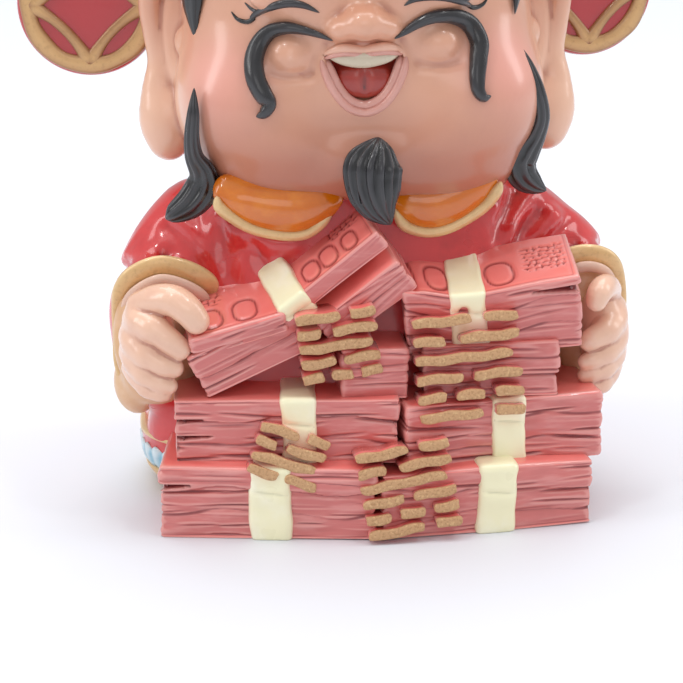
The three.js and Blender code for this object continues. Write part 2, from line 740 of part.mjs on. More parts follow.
function stackCore() {
  const [left, right] = CORE_SIDES;
  const [front, back] = CORE_DEPTHS;
  const block = new THREE.BoxGeometry(right - left, back - front, CORE_TOP + 1);
  return solid(block.translate((left + right) / 2, (front + back) / 2, (CORE_TOP - 1) / 2));
}

// Rows of short raised bars, staggered like bricks
function strokes({ at, half, roll, lean, rows }) {
  const place = new THREE.Matrix4()
    .makeTranslation(...at)
    .multiply(new THREE.Matrix4().makeRotationX(THREE.MathUtils.degToRad(-lean)))
    .multiply(new THREE.Matrix4().makeRotationY(THREE.MathUtils.degToRad(-roll)));
  const parts = [];
  for (let row = 0; row < rows; row += 1) {
    const shares = STROKE_ROWS[row % STROKE_ROWS.length];
    const filled = shares.reduce((sum, share) => sum + share);
    const gap = (2 * half[0] * (1 - filled)) / Math.max(1, shares.length - 1);
    const height = half[1] - (2 * half[1] * row) / (rows - 1);
    let left = -half[0];
    for (const share of shares) {
      const length = 2 * half[0] * share;
      const bar = new THREE.BoxGeometry(length, STROKE_RISE + STROKE_SINK, 2 * STROKE_HALF_HEIGHT);
      bar.translate(left + length / 2, (STROKE_SINK - STROKE_RISE) / 2, height);
      parts.push(solid(bar.applyMatrix4(place)));
      left += length + gap;
    }
  }
  return parts;
}

// The whole casting

const head = union([face(), ...lips(), ...eyelids(), ...beard(), ...ears(), ...hair(), ...hat()]);
const pieces = [
  turnHead(head),
  ...wing(WING_LEFT),
  ...wing(WING_RIGHT),
  robe(),
  ...collar(),
  ...ARMS.flatMap(arm),
  ...BUNDLES.map(bundle),
  stackCore(),
  ...STROKE_PLACES.flatMap(strokes),
];
const ground = solid(new THREE.BoxGeometry(200, 200, 60).translate(0, 0, -30));
const casting = union(pieces).subtract(ground);

const mesh = casting.getMesh();
const geometry = new THREE.BufferGeometry();
geometry.setAttribute('position', new THREE.BufferAttribute(mesh.vertProperties, 3));
geometry.setIndex(new THREE.BufferAttribute(mesh.triVerts, 1));
geometry.computeBoundingBox();
const box = geometry.boundingBox;
geometry.translate(-(box.min.x + box.max.x) / 2, -(box.min.y + box.max.y) / 2, -box.min.z);
geometry.computeVertexNormals();

const resin = new THREE.MeshStandardMaterial({ color: 0xb54444, roughness: 0.3, metalness: 0 });
const figure = new THREE.Mesh(geometry, resin);
figure.name = 'caishen_figure';

const group = new THREE.Group();
group.add(figure);

export default group;
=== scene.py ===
import math

import bpy
import numpy as np
from mathutils import Matrix, Vector


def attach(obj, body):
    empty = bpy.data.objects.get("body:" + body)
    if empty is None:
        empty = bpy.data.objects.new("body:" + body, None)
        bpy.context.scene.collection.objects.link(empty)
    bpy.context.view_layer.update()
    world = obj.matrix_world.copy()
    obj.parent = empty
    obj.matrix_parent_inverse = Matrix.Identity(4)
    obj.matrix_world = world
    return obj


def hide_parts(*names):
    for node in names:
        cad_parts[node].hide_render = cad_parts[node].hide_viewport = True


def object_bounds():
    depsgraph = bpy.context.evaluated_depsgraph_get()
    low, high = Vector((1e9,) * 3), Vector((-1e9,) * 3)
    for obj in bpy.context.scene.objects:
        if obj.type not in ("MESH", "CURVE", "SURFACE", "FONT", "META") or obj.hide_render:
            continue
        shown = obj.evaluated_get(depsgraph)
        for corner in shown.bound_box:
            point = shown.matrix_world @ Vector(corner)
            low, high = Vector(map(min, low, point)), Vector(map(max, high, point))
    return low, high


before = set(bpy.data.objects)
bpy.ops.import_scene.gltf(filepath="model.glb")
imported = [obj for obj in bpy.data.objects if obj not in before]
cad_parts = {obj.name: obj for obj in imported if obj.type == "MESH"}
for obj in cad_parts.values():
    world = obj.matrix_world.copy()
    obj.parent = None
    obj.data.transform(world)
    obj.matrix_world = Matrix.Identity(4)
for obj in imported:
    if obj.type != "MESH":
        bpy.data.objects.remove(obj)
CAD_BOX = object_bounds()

bl_info = {
    "name": "Caishen figure",
    "version": (1, 0, 0),
    "blender": (4, 5, 0),
    "location": "3D View > Sidebar > Caishen",
    "description": "Builds the painted surfaces of a small cast resin figure of the god of wealth",
    "category": "Object",
}

MM = 0.001
BODY = "root"
NODE = "caishen_figure"

# The forms are given in millimetres about the figure's own upright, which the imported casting
# carries a little off the middle of its box
CASTING_LOW = np.array([-58.3363, -35.9312, 0.0])
SHIFT = np.array(CAD_BOX[0]) / MM - CASTING_LOW

# The head is made upright and then turned on the neck
HEAD_PIVOT = np.array([0.0, 0.0, 84.0])
HEAD_OFFSET = np.array([0.2, 0.0, 84.0])
HEAD_TURN = math.radians(-4)
HEAD_ROLL = math.radians(-1)

# Power of the rounded box that head, hat and robe are lofted with; 2 would be an ellipse
ROUNDNESS = 2.3
# Power of the loops pressed into the notes' tops
LOOP_ROUNDNESS = 2.6


# Numbers

def smooth(low, high, x):
    t = np.clip((x - low) / (high - low), 0, 1)
    return t * t * (3 - 2 * t)


def curve(rows, count):
    """Even steps along a smooth line through rows of numbers."""
    rows = np.asarray(rows, float)
    ends = np.vstack([2 * rows[0] - rows[1], rows, 2 * rows[-1] - rows[-2]])
    place = np.linspace(0, len(rows) - 1, count)
    i = np.minimum(place.astype(int), len(rows) - 2)
    t = (place - i)[:, None]
    a, b, c, d = (ends[i + k] for k in range(4))
    square = (2 * a - 5 * b + 4 * c - d) * t**2
    cube = (3 * b - a - 3 * c + d) * t**3
    return 0.5 * (2 * b + (c - a) * t + square + cube)


def table(rows):
    """Smooth numbers by height that don't overshoot the rows they pass through."""
    rows = np.asarray(rows, float)
    z, v = rows[:, 0], rows[:, 1:]
    step = np.diff(z)[:, None]
    slope = np.diff(v, axis=0) / step
    both = slope[:-1] * slope[1:]
    inner = np.where(both > 0, 2 * both / np.where(both > 0, slope[:-1] + slope[1:], 1), 0)
    tangent = np.vstack([slope[:1], inner, slope[-1:]])

    def at(x):
        x = np.clip(np.asarray(x, float), z[0], z[-1])
        i = np.clip(np.searchsorted(z, x, side="right") - 1, 0, len(z) - 2)
        h = step[i, 0]
        t = ((x - z[i]) / h)[..., None]
        h = h[..., None]
        value = (
            v[i] * (2 * t**3 - 3 * t**2 + 1)
            + tangent[i] * h * (t**3 - 2 * t**2 + t)
            + v[i + 1] * (3 * t**2 - 2 * t**3)
            + tangent[i + 1] * h * (t**3 - t**2)
        )
        return np.moveaxis(value, -1, 0)

    return at


def wobble(points, length, seed, count=5):
    """Slow irregular swings, each way within about one, over a length in millimetres."""
    rng = np.random.default_rng(seed)
    total = np.zeros(len(points))
    for _ in range(count):
        wave = rng.normal(size=3) * (2.2 / length)
        total += np.sin(points @ wave + rng.uniform(0, 2 * math.pi))
    return total / math.sqrt(count)


def turned(x=0.0, y=0.0, z=0.0):
    """Rotation about X, then Y, then Z, in degrees."""
    turn = Matrix.Rotation(math.radians(z), 3, "Z") @ Matrix.Rotation(math.radians(y), 3, "Y")
    return np.array(turn @ Matrix.Rotation(math.radians(x), 3, "X"))


HEAD_MATRIX = turned(y=math.degrees(HEAD_ROLL)) @ turned(z=math.degrees(HEAD_TURN))


def head_placed(points):
    return (points - HEAD_PIVOT) @ HEAD_MATRIX.T + HEAD_OFFSET


# Shapes: each is a distance to its surface, with the corners of the box it fills

def ball(centre, radii, turn=None):
    centre, radii = np.array(centre, float), np.array(radii, float) * np.ones(3)
    reach = radii if turn is None else np.full(3, radii.max())
    spin = np.eye(3) if turn is None else turn

    def distance(x, y, z):
        p = [x - centre[0], y - centre[1], z - centre[2]]
        q = [spin[0, k] * p[0] + spin[1, k] * p[1] + spin[2, k] * p[2] for k in range(3)]
        near = np.sqrt(sum((q[k] / radii[k]) ** 2 for k in range(3)))
        far = np.sqrt(sum((q[k] / radii[k] ** 2) ** 2 for k in range(3)))
        return near * (near - 1) / np.maximum(far, 1e-6)

    return distance, centre - reach, centre + reach


def rope(rows, count=20, flat=1.0, facing=(0, -1, 0)):
    """Tapering round rod through rows x, y, z, radius, thinner towards `facing`."""
    line = curve(rows, count)
    facing = np.array(facing, float) / np.linalg.norm(facing)
    squeeze = 1 / flat**2 - 1

    def distance(x, y, z):
        best = None
        for a, b in zip(line[:-1], line[1:]):
            ab = b - a
            long = max(float(ab[:3] @ ab[:3]), 1e-9)
            d = [x - a[0], y - a[1], z - a[2]]
            t = np.clip((d[0] * ab[0] + d[1] * ab[1] + d[2] * ab[2]) / long, 0, 1)
            d = [d[k] - t * ab[k] for k in range(3)]
            out = d[0] * facing[0] + d[1] * facing[1] + d[2] * facing[2]
            gap = np.sqrt(d[0] ** 2 + d[1] ** 2 + d[2] ** 2 + squeeze * out**2) - (a[3] + t * ab[3])
            best = gap if best is None else np.minimum(best, gap)
        return best

    reach = line[:, 3:4]
    return distance, (line[:, :3] - reach).min(0), (line[:, :3] + reach).max(0)


def loft(rows, middle=0.0):
    """Rounded body given by its half-width, front depth and back depth at each height."""
    at = table(rows)
    low, high = rows[0][0], rows[-1][0]

    def distance(x, y, z):
        width, front, back = np.maximum(at(z), 0.4)
        depth = np.where(y < 0, front, back)
        across, out = np.abs((x - middle) / width), np.abs(y / depth)
        share = (across ** ROUNDNESS + out ** ROUNDNESS) ** (1 / ROUNDNESS)
        round_ = (share - 1) * np.minimum(width, depth)
        return np.maximum(round_, np.maximum(low - z, z - high))

    rows = np.array(rows)
    wide, front, back = rows[:, 1].max(), rows[:, 2].max(), rows[:, 3].max()
    return distance, np.array([middle - wide, -front, low]), np.array([middle + wide, back, high])


class Clay:
    """A block of space in which shapes are blended together and cut away, then skinned."""

    def __init__(self, low, high, step):
        self.low, self.step = np.array(low, float), step
        self.size = np.ceil((np.array(high) - self.low) / step).astype(int) + 1
        self.field = np.full(self.size, 20.0, np.float32)

    def window(self, low, high, margin):
        first = np.floor((np.array(low) - margin - self.low) / self.step).astype(int)
        last = np.ceil((np.array(high) + margin - self.low) / self.step).astype(int) + 1
        first, last = np.clip(first, 0, self.size), np.clip(last, 0, self.size)
        part = tuple(slice(a, b) for a, b in zip(first, last))
        lines = [self.low[k] + self.step * np.arange(first[k], last[k]) for k in range(3)]
        return part, np.meshgrid(*lines, indexing="ij", sparse=True)

    def measured(self, shape, blend, even):
        distance, low, high = shape
        part, grid = self.window(low, high, blend + 3 * self.step)
        new = np.broadcast_to(distance(*grid), self.field[part].shape)
        if even and min(new.shape) > 2:
            steep = np.sqrt(sum(g**2 for g in np.gradient(new, self.step)))
            new = new / np.maximum(steep, 0.3)
        return part, new

    def join(self, shape, blend=0.0, even=False):
        part, new = self.measured(shape, blend, even)
        old = self.field[part]
        if blend:
            t = np.clip(0.5 + 0.5 * (new - old) / blend, 0, 1)
            self.field[part] = new + (old - new) * t - blend * t * (1 - t)
            self.field[part] = np.where(t >= 1, old, self.field[part])
        else:
            self.field[part] = np.minimum(old, new)
        return self

    def cut(self, shape, blend=0.0):
        part, new = self.measured(shape, blend, False)
        old, new = self.field[part], -new
        if blend:
            t = np.clip(0.5 - 0.5 * (new - old) / blend, 0, 1)
            self.field[part] = new + (old - new) * t + blend * t * (1 - t)
        else:
            self.field[part] = np.maximum(old, new)
        return self

    def swell(self, height, low, high):
        """Raises the surface by a height in millimetres, given at each place."""
        part, grid = self.window(low, high, 0)
        self.field[part] -= height(*grid)
        return self

    def front(self, x, z):
        """Depth of the first surface met from the front at a place."""
        u, w = (x - self.low[0]) / self.step, (z - self.low[2]) / self.step
        i, k = int(u), int(w)
        depth = 0.0
        for di, dk in ((0, 0), (0, 1), (1, 0), (1, 1)):
            column = self.field[i + di, :, k + dk]
            if not (column < 0).any():
                return math.nan
            j = max(int((column < 0).argmax()), 1)
            share = (u - i if di else 1 - u + i) * (w - k if dk else 1 - w + k)
            drop = min(column[j] - column[j - 1], -1e-3)
            depth += share * (self.low[1] + self.step * (j - column[j] / drop))
        return depth

    def on(self, x, z, out=0.0):
        """Place on the front of the surface, or that far out from it."""
        return np.array([x, self.front(x, z) - out, z])

    def skin(self):
        """Corners and four-sided faces of the surface."""
        field, size = self.field, self.size
        cells = size - 1
        inside = field < 0
        corners, places, quads = [], [], []
        for axis, (one, two) in enumerate(((1, 2), (2, 0), (0, 1))):
            here, there = [slice(None)] * 3, [slice(None)] * 3
            here[axis], there[axis] = slice(0, -1), slice(1, None)
            at = np.argwhere(inside[tuple(here)] != inside[tuple(there)])
            keep = (at[:, one] > 0) & (at[:, one] < size[one] - 1)
            keep &= (at[:, two] > 0) & (at[:, two] < size[two] - 1)
            at = at[keep]
            next_ = at.copy()
            next_[:, axis] += 1
            a, b = field[tuple(at.T)], field[tuple(next_.T)]
            point = at.astype(float)
            point[:, axis] += a / (a - b)
            ring = []
            for back_one, back_two in ((0, 0), (1, 0), (1, 1), (0, 1)):
                cell = at.copy()
                cell[:, one] -= back_one
                cell[:, two] -= back_two
                ring.append(np.ravel_multi_index(cell.T, cells))
                corners.append(ring[-1])
                places.append(point)
            ring = np.stack(ring, 1)
            quads.append(np.where((a < b)[:, None], ring, ring[:, ::-1]))
        corners, places, quads = np.concatenate(corners), np.concatenate(places), np.concatenate(quads)
        used, which = np.unique(corners, return_inverse=True)
        hits = np.bincount(which)
        points = np.stack([np.bincount(which, places[:, k]) / hits for k in range(3)], 1)
        return self.low + self.step * points, np.searchsorted(used, quads)


# Meshes: corners in millimetres and faces

def outward(points, faces):
    """Turns the faces of a closed mesh the right way out."""
    a, b, c = (points[[f[k] for f in faces]] for k in range(3))
    if np.einsum("ij,ij->i", a, np.cross(b, c)).sum() < 0:
        faces = [tuple(f)[::-1] for f in faces]
    return faces


def strand(rows, around=12, count=30, flat=0.8, facing=(0, -1, 0), grooves=0, depth=0.0, twist=0.0):
    """Closed tapering strand of hair, cord or piping through rows x, y, z, radius."""
    line = curve(rows, count)
    centre, radius = line[:, :3], np.maximum(line[:, 3], 0.02)
    way = np.gradient(centre, axis=0)
    way /= np.linalg.norm(way, axis=1)[:, None]
    side = np.cross(way, np.array(facing, float))
    side /= np.maximum(np.linalg.norm(side, axis=1), 1e-6)[:, None]
    rise = np.cross(side, way)
    turn = np.linspace(0, 2 * math.pi, around, endpoint=False)
    along = np.linspace(0, 1, count)[:, None]
    end = np.sqrt(np.clip(1 - (2 * along - 1) ** 16, 0, 1))
    ring = radius[:, None] * end
    if grooves:
        comb = np.abs(np.sin(grooves / 2 * turn[None, :] + twist * along)) ** 0.6
        ring = ring * (1 - depth * (1 - comb))
    points = (
        centre[:, None, :]
        + side[:, None, :] * (np.cos(turn) * ring)[..., None]
        + rise[:, None, :] * (np.sin(turn) * ring * flat)[..., None]
    ).reshape(-1, 3)
    i = np.arange(count - 1)[:, None] * around
    j = np.arange(around)[None, :]
    k = (j + 1) % around
    quads = np.stack([i + j, i + k, i + around + k, i + around + j], -1).reshape(-1, 4)
    faces = [tuple(q) for q in quads]
    faces.append(tuple(range(around))[::-1])
    faces.append(tuple(range((count - 1) * around, count * around)))
    return points, outward(points, faces)


def spun(profile, around, place, axis_turn):
    """Closed turned form: radius and height pairs from one pole to the other."""
    profile = np.array(profile, float)
    turn = np.linspace(0, 2 * math.pi, around, endpoint=False)
    rings = profile[1:-1]
    points = np.stack(
        [
            rings[:, :1] * np.cos(turn),
            np.repeat(rings[:, 1:], around, 1),
            rings[:, :1] * np.sin(turn),
        ],
        -1,
    ).reshape(-1, 3)
    first, last = len(points), len(points) + 1
    points = np.vstack([points, [0, profile[0, 1], 0], [0, profile[-1, 1], 0]])
    faces = []
    for r in range(len(rings) - 1):
        for j in range(around):
            k = (j + 1) % around
            faces.append((r * around + j, r * around + k, (r + 1) * around + k, (r + 1) * around + j))
    top = (len(rings) - 1) * around
    for j in range(around):
        k = (j + 1) % around
        faces.append((first, k, j))
        faces.append((last, top + j, top + k))
    points = points @ axis_turn.T + np.array(place)
    return points, outward(points, faces)


def steps_of(length, radius, pitch):
    """Places along an edge, close together where it rounds over."""
    corner = radius * (1 - np.cos(np.linspace(0, math.pi / 2, 5)))
    inner = np.linspace(radius, length - radius, max(2, round((length - 2 * radius) / pitch)) + 1)
    return np.concatenate([corner[:-1], inner, (length - corner[:-1])[::-1]])


def slab(size, radius, pitch):
    """Rounded block from (0, 0, -height) to (length, depth, 0): corners, outward ways and faces.
    Its back and underside, which are buried, are one flat face each."""
    lines = [steps_of(size[k], radius, pitch[k]) for k in range(3)]
    lines[2] = lines[2] - size[2]
    last = [len(line) - 1 for line in lines]
    number = {}
    points, faces = [], []

    def corner(i, j, k):
        key = (i, j, k)
        if key not in number:
            number[key] = len(points)
            points.append((lines[0][i], lines[1][j], lines[2][k]))
        return number[key]

    top = last[2]
    for i in range(last[0]):
        for k in range(last[2]):
            faces.append((corner(i, 0, k), corner(i + 1, 0, k), corner(i + 1, 0, k + 1), corner(i, 0, k + 1)))
        for j in range(last[1]):
            faces.append((corner(i, j, top), corner(i + 1, j, top), corner(i + 1, j + 1, top),
                          corner(i, j + 1, top)))
    for j in range(last[1]):
        for k in range(last[2]):
            for i, way in ((0, 1), (last[0], -1)):
                ring = (corner(i, j, k), corner(i, j, k + 1), corner(i, j + 1, k + 1), corner(i, j + 1, k))
                faces.append(ring[::way])
    end = last[1]
    back = [corner(0, end, k) for k in range(top)] + [corner(i, end, top) for i in range(last[0])]
    back += [corner(last[0], end, k) for k in range(top, -1, -1)]
    under = [corner(0, j, 0) for j in range(end, 0, -1)] + [corner(i, 0, 0) for i in range(last[0])]
    under += [corner(last[0], j, 0) for j in range(end + 1)]
    faces += [tuple(back), tuple(under[::-1])]
    points = np.array(points)
    low = np.array([radius, radius, radius - size[2]])
    high = np.array([size[0] - radius, size[1] - radius, -radius])
    core = np.clip(points, low, high)
    away = points - core
    way = away / np.maximum(np.linalg.norm(away, axis=1), 1e-9)[:, None]
    return core + way * radius, way, faces


class Piece:
    """Collects forms, each with its paint, into one mesh that rides with the casting."""

    def __init__(self, name):
        self.name = name
        self.points, self.faces, self.paint, self.materials = [], [], [], []
        self.wash, self.side = [], []

    def add(self, points, faces, material, wash=None, paints=None, side=None):
        """wash is how much painted shade lies in each corner's groove, side how far it faces sideways,
        paints the index of each face's material in `material` when that is a list."""
        materials = material if isinstance(material, list) else [material]
        slots = []
        for m in materials:
            if m not in self.materials:
                self.materials.append(m)
            slots.append(self.materials.index(m))
        base = sum(len(p) for p in self.points)
        self.points.append(np.asarray(points, float))
        self.faces.extend(tuple(int(v) + base for v in f) for f in faces)
        self.paint.extend([slots[0]] * len(faces) if paints is None else [slots[p] for p in paints])
        self.wash.append(np.zeros(len(points)) if wash is None else wash)
        self.side.append(np.zeros(len(points)) if side is None else side)

    def finish(self, relief_length=0.9, settle=3):
        points = np.vstack(self.points) + SHIFT
        mesh = bpy.data.meshes.new(self.name)
        mesh.from_pydata((points * MM).tolist(), [], self.faces)
        if mesh.validate():
            raise RuntimeError(f"{self.name} has faces that had to be mended")
        for m in self.materials:
            mesh.materials.append(m)
        mesh.polygons.foreach_set("material_index", self.paint)
        mesh.shade_smooth()
        mesh.update()
        self.write(mesh, "wash", np.concatenate(self.wash))
        self.write(mesh, "side", np.concatenate(self.side))
        self.write(mesh, "hollow", hollows(mesh, points, relief_length, settle))
        piece = bpy.data.objects.new(self.name, mesh)
        bpy.context.scene.collection.objects.link(piece)
        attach(piece, BODY)
        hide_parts(NODE)
        return piece

    @staticmethod
    def write(mesh, name, values):
        layer = mesh.attributes.new(name, "FLOAT", "POINT")
        layer.data.foreach_set("value", np.asarray(values, np.float32))


def hollows(mesh, points, length, settle):
    """How hollow the surface is at each corner, from -1 on a ridge to 1 in a groove."""
    edges = np.zeros(len(mesh.edges) * 2, np.int32)
    mesh.edges.foreach_get("vertices", edges)
    a, b = edges.reshape(-1, 2).T
    normals = np.zeros(len(points) * 3, np.float32)
    mesh.vertices.foreach_get("normal", normals)
    normals = normals.reshape(-1, 3)
    span = np.linalg.norm(points[a] - points[b], axis=1)
    lean = np.einsum("ij,ij->i", points[b] - points[a], normals[a]) / np.maximum(span, 1e-6) ** 2
    back = np.einsum("ij,ij->i", points[a] - points[b], normals[b]) / np.maximum(span, 1e-6) ** 2
    count = np.bincount(a, minlength=len(points)) + np.bincount(b, minlength=len(points))
    count = np.maximum(count, 1)
    value = (np.bincount(a, lean, len(points)) + np.bincount(b, back, len(points))) / count
    value = np.clip(value * length, -1, 1)
    for _ in range(settle):
        value = 0.5 * value + 0.5 * (
            np.bincount(a, value[b], len(points)) + np.bincount(b, value[a], len(points))
        ) / count
    return value


# Paints

def linear(colour, alpha=1.0):
    """Linear colour of an sRGB hex value; a setting's colour is linear already."""
    if not isinstance(colour, str):
        return tuple(colour)
    parts = [int(colour[k:k + 2], 16) / 255 for k in (1, 3, 5)]
    return (*[c / 12.92 if c <= 0.04045 else ((c + 0.055) / 1.055) ** 2.4 for c in parts], alpha)


def node(tree, kind, settings=None, links=None):
    """Adds a node with its settings, where a name of a socket sets its value, and its links."""
    made = tree.nodes.new(kind)
    for name, value in (settings or {}).items():
        if isinstance(name, int) or (name in made.inputs and not hasattr(made, str(name))):
            made.inputs[name].default_value = value
        else:
            setattr(made, name, value)
    for name, source in (links or {}).items():
        tree.links.new(source, made.inputs[name])
    return made


def thickness(tree, place, start=0.0, full=1.0, most=1.0, follows=None, patches=None, seed=0.0,
              stretch=(1, 1, 1), middle=None, rises=False, within=None):
    """How thickly a layer of paint lies, from nothing at `start` to `most` at `full`. It follows a
    measure written on the mesh, patches of a size in millimetres, the way from a middle, or the
    height, and `within` keeps it to where another layer lies."""
    if follows:
        source = node(tree, "ShaderNodeAttribute", {"attribute_name": follows}).outputs["Fac"]
    elif patches:
        spread = node(tree, "ShaderNodeMapping", {"Scale": stretch, "Location": (seed,) * 3},
                      {"Vector": place})
        grain = {"Scale": 0.5 / (patches * MM), "Detail": 3.0, "Roughness": 0.55}
        source = node(tree, "ShaderNodeTexNoise", grain, {"Vector": spread.outputs[0]}).outputs["Fac"]
    elif rises:
        source = node(tree, "ShaderNodeSeparateXYZ", {}, {0: place}).outputs["Z"]
        start, full = start * MM, full * MM
    else:
        centre = tuple((np.array(middle) + SHIFT) * MM)
        away = node(tree, "ShaderNodeVectorMath", {"operation": "DISTANCE", 1: centre}, {0: place})
        source = away.outputs["Value"]
        start, full = start * MM, full * MM
    ramp = {"interpolation_type": "SMOOTHSTEP", "From Min": start, "From Max": full, "To Min": 0.0,
            "To Max": most}
    laid = node(tree, "ShaderNodeMapRange", ramp, {"Value": source}).outputs["Result"]
    if within:
        other = thickness(tree, place, **within)
        laid = node(tree, "ShaderNodeMath", {"operation": "MULTIPLY"}, {0: laid, 1: other}).outputs[0]
    return laid


def painted(name, ground, layers, roughness, uneven=None, spread=0.06, grain=(), coat=0.0,
            coat_roughness=0.1, metallic=0.0):
    """Paint laid layer by layer over its ground colour. Each layer is a colour and where it lies,
    `uneven` where the sheen is duller and `spread` by how much, and `grain` fine bumps: where they
    stand, and their height in millimetres."""
    material = bpy.data.materials.get(name)
    if material:
        return material
    material = bpy.data.materials.new(name)
    material.use_nodes = True
    tree = material.node_tree
    shader = tree.nodes["Principled BSDF"]
    for socket, value in (("Metallic", metallic), ("Coat Weight", coat), ("Coat Roughness", coat_roughness),
                          ("Roughness", roughness), ("Base Color", linear(ground))):
        shader.inputs[socket].default_value = value
    place = node(tree, "ShaderNodeTexCoord").outputs["Object"]
    colour = None
    for shade, where in layers:
        mixed = node(tree, "ShaderNodeMix", {"data_type": "RGBA"},
                     {"Factor": thickness(tree, place, **where)})
        mixed.inputs[6].default_value = linear(ground)
        mixed.inputs[7].default_value = linear(shade)
        if colour:
            tree.links.new(colour, mixed.inputs[6])
        colour = mixed.outputs[2]
    tree.links.new(colour, shader.inputs["Base Color"])
    if uneven:
        dull = {"To Min": roughness - spread, "To Max": roughness + spread}
        dull = node(tree, "ShaderNodeMapRange", dull, {"Value": thickness(tree, place, **uneven)})
        tree.links.new(dull.outputs["Result"], shader.inputs["Roughness"])
    normal = {}
    for where, height in grain:
        raised = {"Height": thickness(tree, place, **where), **normal}
        bump = node(tree, "ShaderNodeBump", {"Distance": height * MM}, raised)
        normal = {"Normal": bump.outputs["Normal"]}
    if normal:
        tree.links.new(normal["Normal"], shader.inputs["Normal"])
    return material


# Sizes and colours that a user would change

def length_of(name, description, default):
    return bpy.props.FloatProperty(
        name=name, description=description, default=default * MM, unit="LENGTH", subtype="DISTANCE",
        precision=4
    )


def colour_of(name, description, default):
    return bpy.props.FloatVectorProperty(
        name=name, description=description, default=linear(default), size=4, min=0, max=1, subtype="COLOR"
    )


class HeadSettings(bpy.types.PropertyGroup):
    """Sizes and colours of the head, hair and hat"""

    cheek_rise: length_of("Cheek rise", "How far each cheek stands out under the moustache", 1.9)
    moustache_radius: length_of("Moustache radius", "Half the moustache's thickness at its fullest", 1.75)
    hair_groove: length_of("Hair groove", "Depth of the comb lines in the beard and locks", 0.35)
    skin: colour_of("Skin", "Sprayed skin colour", "#dda386")
    hands: colour_of("Hands", "Paler skin colour of the hands", "#eabda2")
    blush: colour_of("Blush", "Airbrushed cheek colour", "#ea9f95")
    hair: colour_of("Hair", "Black of the hair and beard", "#131214")
    hat: colour_of("Hat", "Red of the hat", "#b42428")


class RobeSettings(bpy.types.PropertyGroup):
    """Sizes and colours of the robe, collar, sleeves and hands"""

    fold_depth: length_of("Fold depth", "Depth of the sleeve and skirt folds", 1.0)
    piping_radius: length_of("Piping radius", "Half the thickness of the gold piping", 1.05)
    robe: colour_of("Robe", "Glossy red of the robe", "#d83434")
    collar: colour_of("Collar", "Orange of the collar lobes", "#cf6a06")
    gold: colour_of("Gold", "Brushed gold of rims, piping and cuffs", "#d8ad74")
    wave: colour_of("Wave band", "Light blue of the hem's wave band", "#7fb9cf")


class NotesSettings(bpy.types.PropertyGroup):
    """Sizes and colours of the banknote bundles, bands and raised strokes"""

    groove_depth: length_of("Groove depth", "Depth of the carved lines between the notes", 0.62)
    groove_pitch: length_of("Groove pitch", "Distance between the rows of carved lines", 1.9)
    band_thickness: length_of("Band thickness", "How far a paper band stands proud", 0.6)
    stroke_rise: length_of("Stroke rise", "How far the raised strokes stand out", 1.3)
    note: colour_of("Note", "Dull red of the bundles' combed sides", "#cf706b")
    # The tops' lighter red is painted light falling from above
    note_top_lit: colour_of("Note top", "Wetter red of the bundles' tops", "#f4857d")
    # The ridges' pink is real dry-brushing and also a painted highlight
    note_ridge_drybrush_and_highlight: colour_of("Note edge", "Pink dry-brushed over the ridges", "#e39a92")
    # Painted shade in the carved lines
    note_groove_shade: colour_of("Note groove", "Dark wash in the carved lines", "#812c2e")
    stroke: colour_of("Stroke", "Matt gold of the raised strokes", "#c79c72")
    band: colour_of("Band", "Cream of the paper bands", "#f8f2ca")


class StageSettings(bpy.types.PropertyGroup):
    """Floor and light"""

    floor: colour_of("Floor", "Pale floor", "#dde0e6")
    light: bpy.props.FloatProperty(name="Light", description="Strength of the studio lights", default=1.0,
                                   min=0.0)


# Face and ears, in the upright head's own place

HEAD_ROWS = [
    [54.8, 9, 8, 4],
    [55.5, 17.6, 14.2, 8],
    [57.4, 24.4, 17.6, 12],
    [61.2, 28.6, 19.2, 16],
    [66.6, 30.9, 19.6, 18.5],
    [72, 31.6, 19.8, 20.5],
    [79, 31.0, 20, 23],
    [90, 29.6, 19.4, 24],
    [102, 28.2, 18.4, 24],
    [114, 21, 15.5, 19],
    [119.5, 11, 8, 10],
    [122, 2, 2, 2],
]
MOUSTACHES = [
    [(-5.1, 84.8, .21), (-7.9, 85.9, .56), (-10.5, 86.7, .8), (-13, 87, 1.08), (-15.6, 86.2, 1.28),
     (-17.4, 84.3, 1.5), (-18.4, 81.7, 1.62), (-18.2, 78.8, 1.68), (-17.1, 76.3, 1.6), (-16.1, 74.6, 1.25),
     (-17, 73, .95), (-18.4, 72.4, .4)],
    [(5, 84.9, .21), (6.9, 85.9, .56), (9.3, 87.4, .87), (12.1, 88.3, 1.08), (15.3, 88, 1.33),
     (18, 86.4, 1.54), (19.5, 83.6, 1.6), (19.3, 80.8, 1.5), (19, 78.2, 1.35), (19.1, 75.9, 1.15),
     (20, 74.6, .9), (21.3, 74.7, .3)],
]
EYES = [
    [(-7.3, 89.5, .15), (-9.9, 90.9, .56), (-12.4, 91.4, .74), (-14.9, 90.9, .7), (-17.3, 89.4, .62),
     (-18.9, 88, .4)],
    [(6.7, 90.3, .15), (8.5, 91.4, .5), (11.2, 91.9, .72), (13.8, 91.6, .7), (16.4, 90.6, .62),
     (18.4, 89.2, .4)],
]
LASHES = [
    [(-18, 88.3, .4), (-19.3, 87.5, .42), (-20.9, 87.8, .32), (-22, 89, .1)],
    [(-17.2, 89.3, .35), (-18.5, 89.7, .32), (-19.7, 90.7, .1)],
    [(17.6, 89.6, .4), (18.9, 88.9, .42), (20.4, 89.2, .32), (21.5, 90.4, .1)],
    [(16.8, 90.6, .35), (18, 91, .32), (19.2, 92, .1)],
]
BROWS = [
    [(-5.2, 95, .5), (-8.6, 97, 1.3), (-13, 98.2, 1.65), (-17.6, 97.4, 1.35), (-21.4, 94.6, .5)],
    [(5.2, 95.3, .5), (8.6, 97.3, 1.3), (13, 98.5, 1.65), (17.6, 97.7, 1.35), (21.4, 94.9, .5)],
]
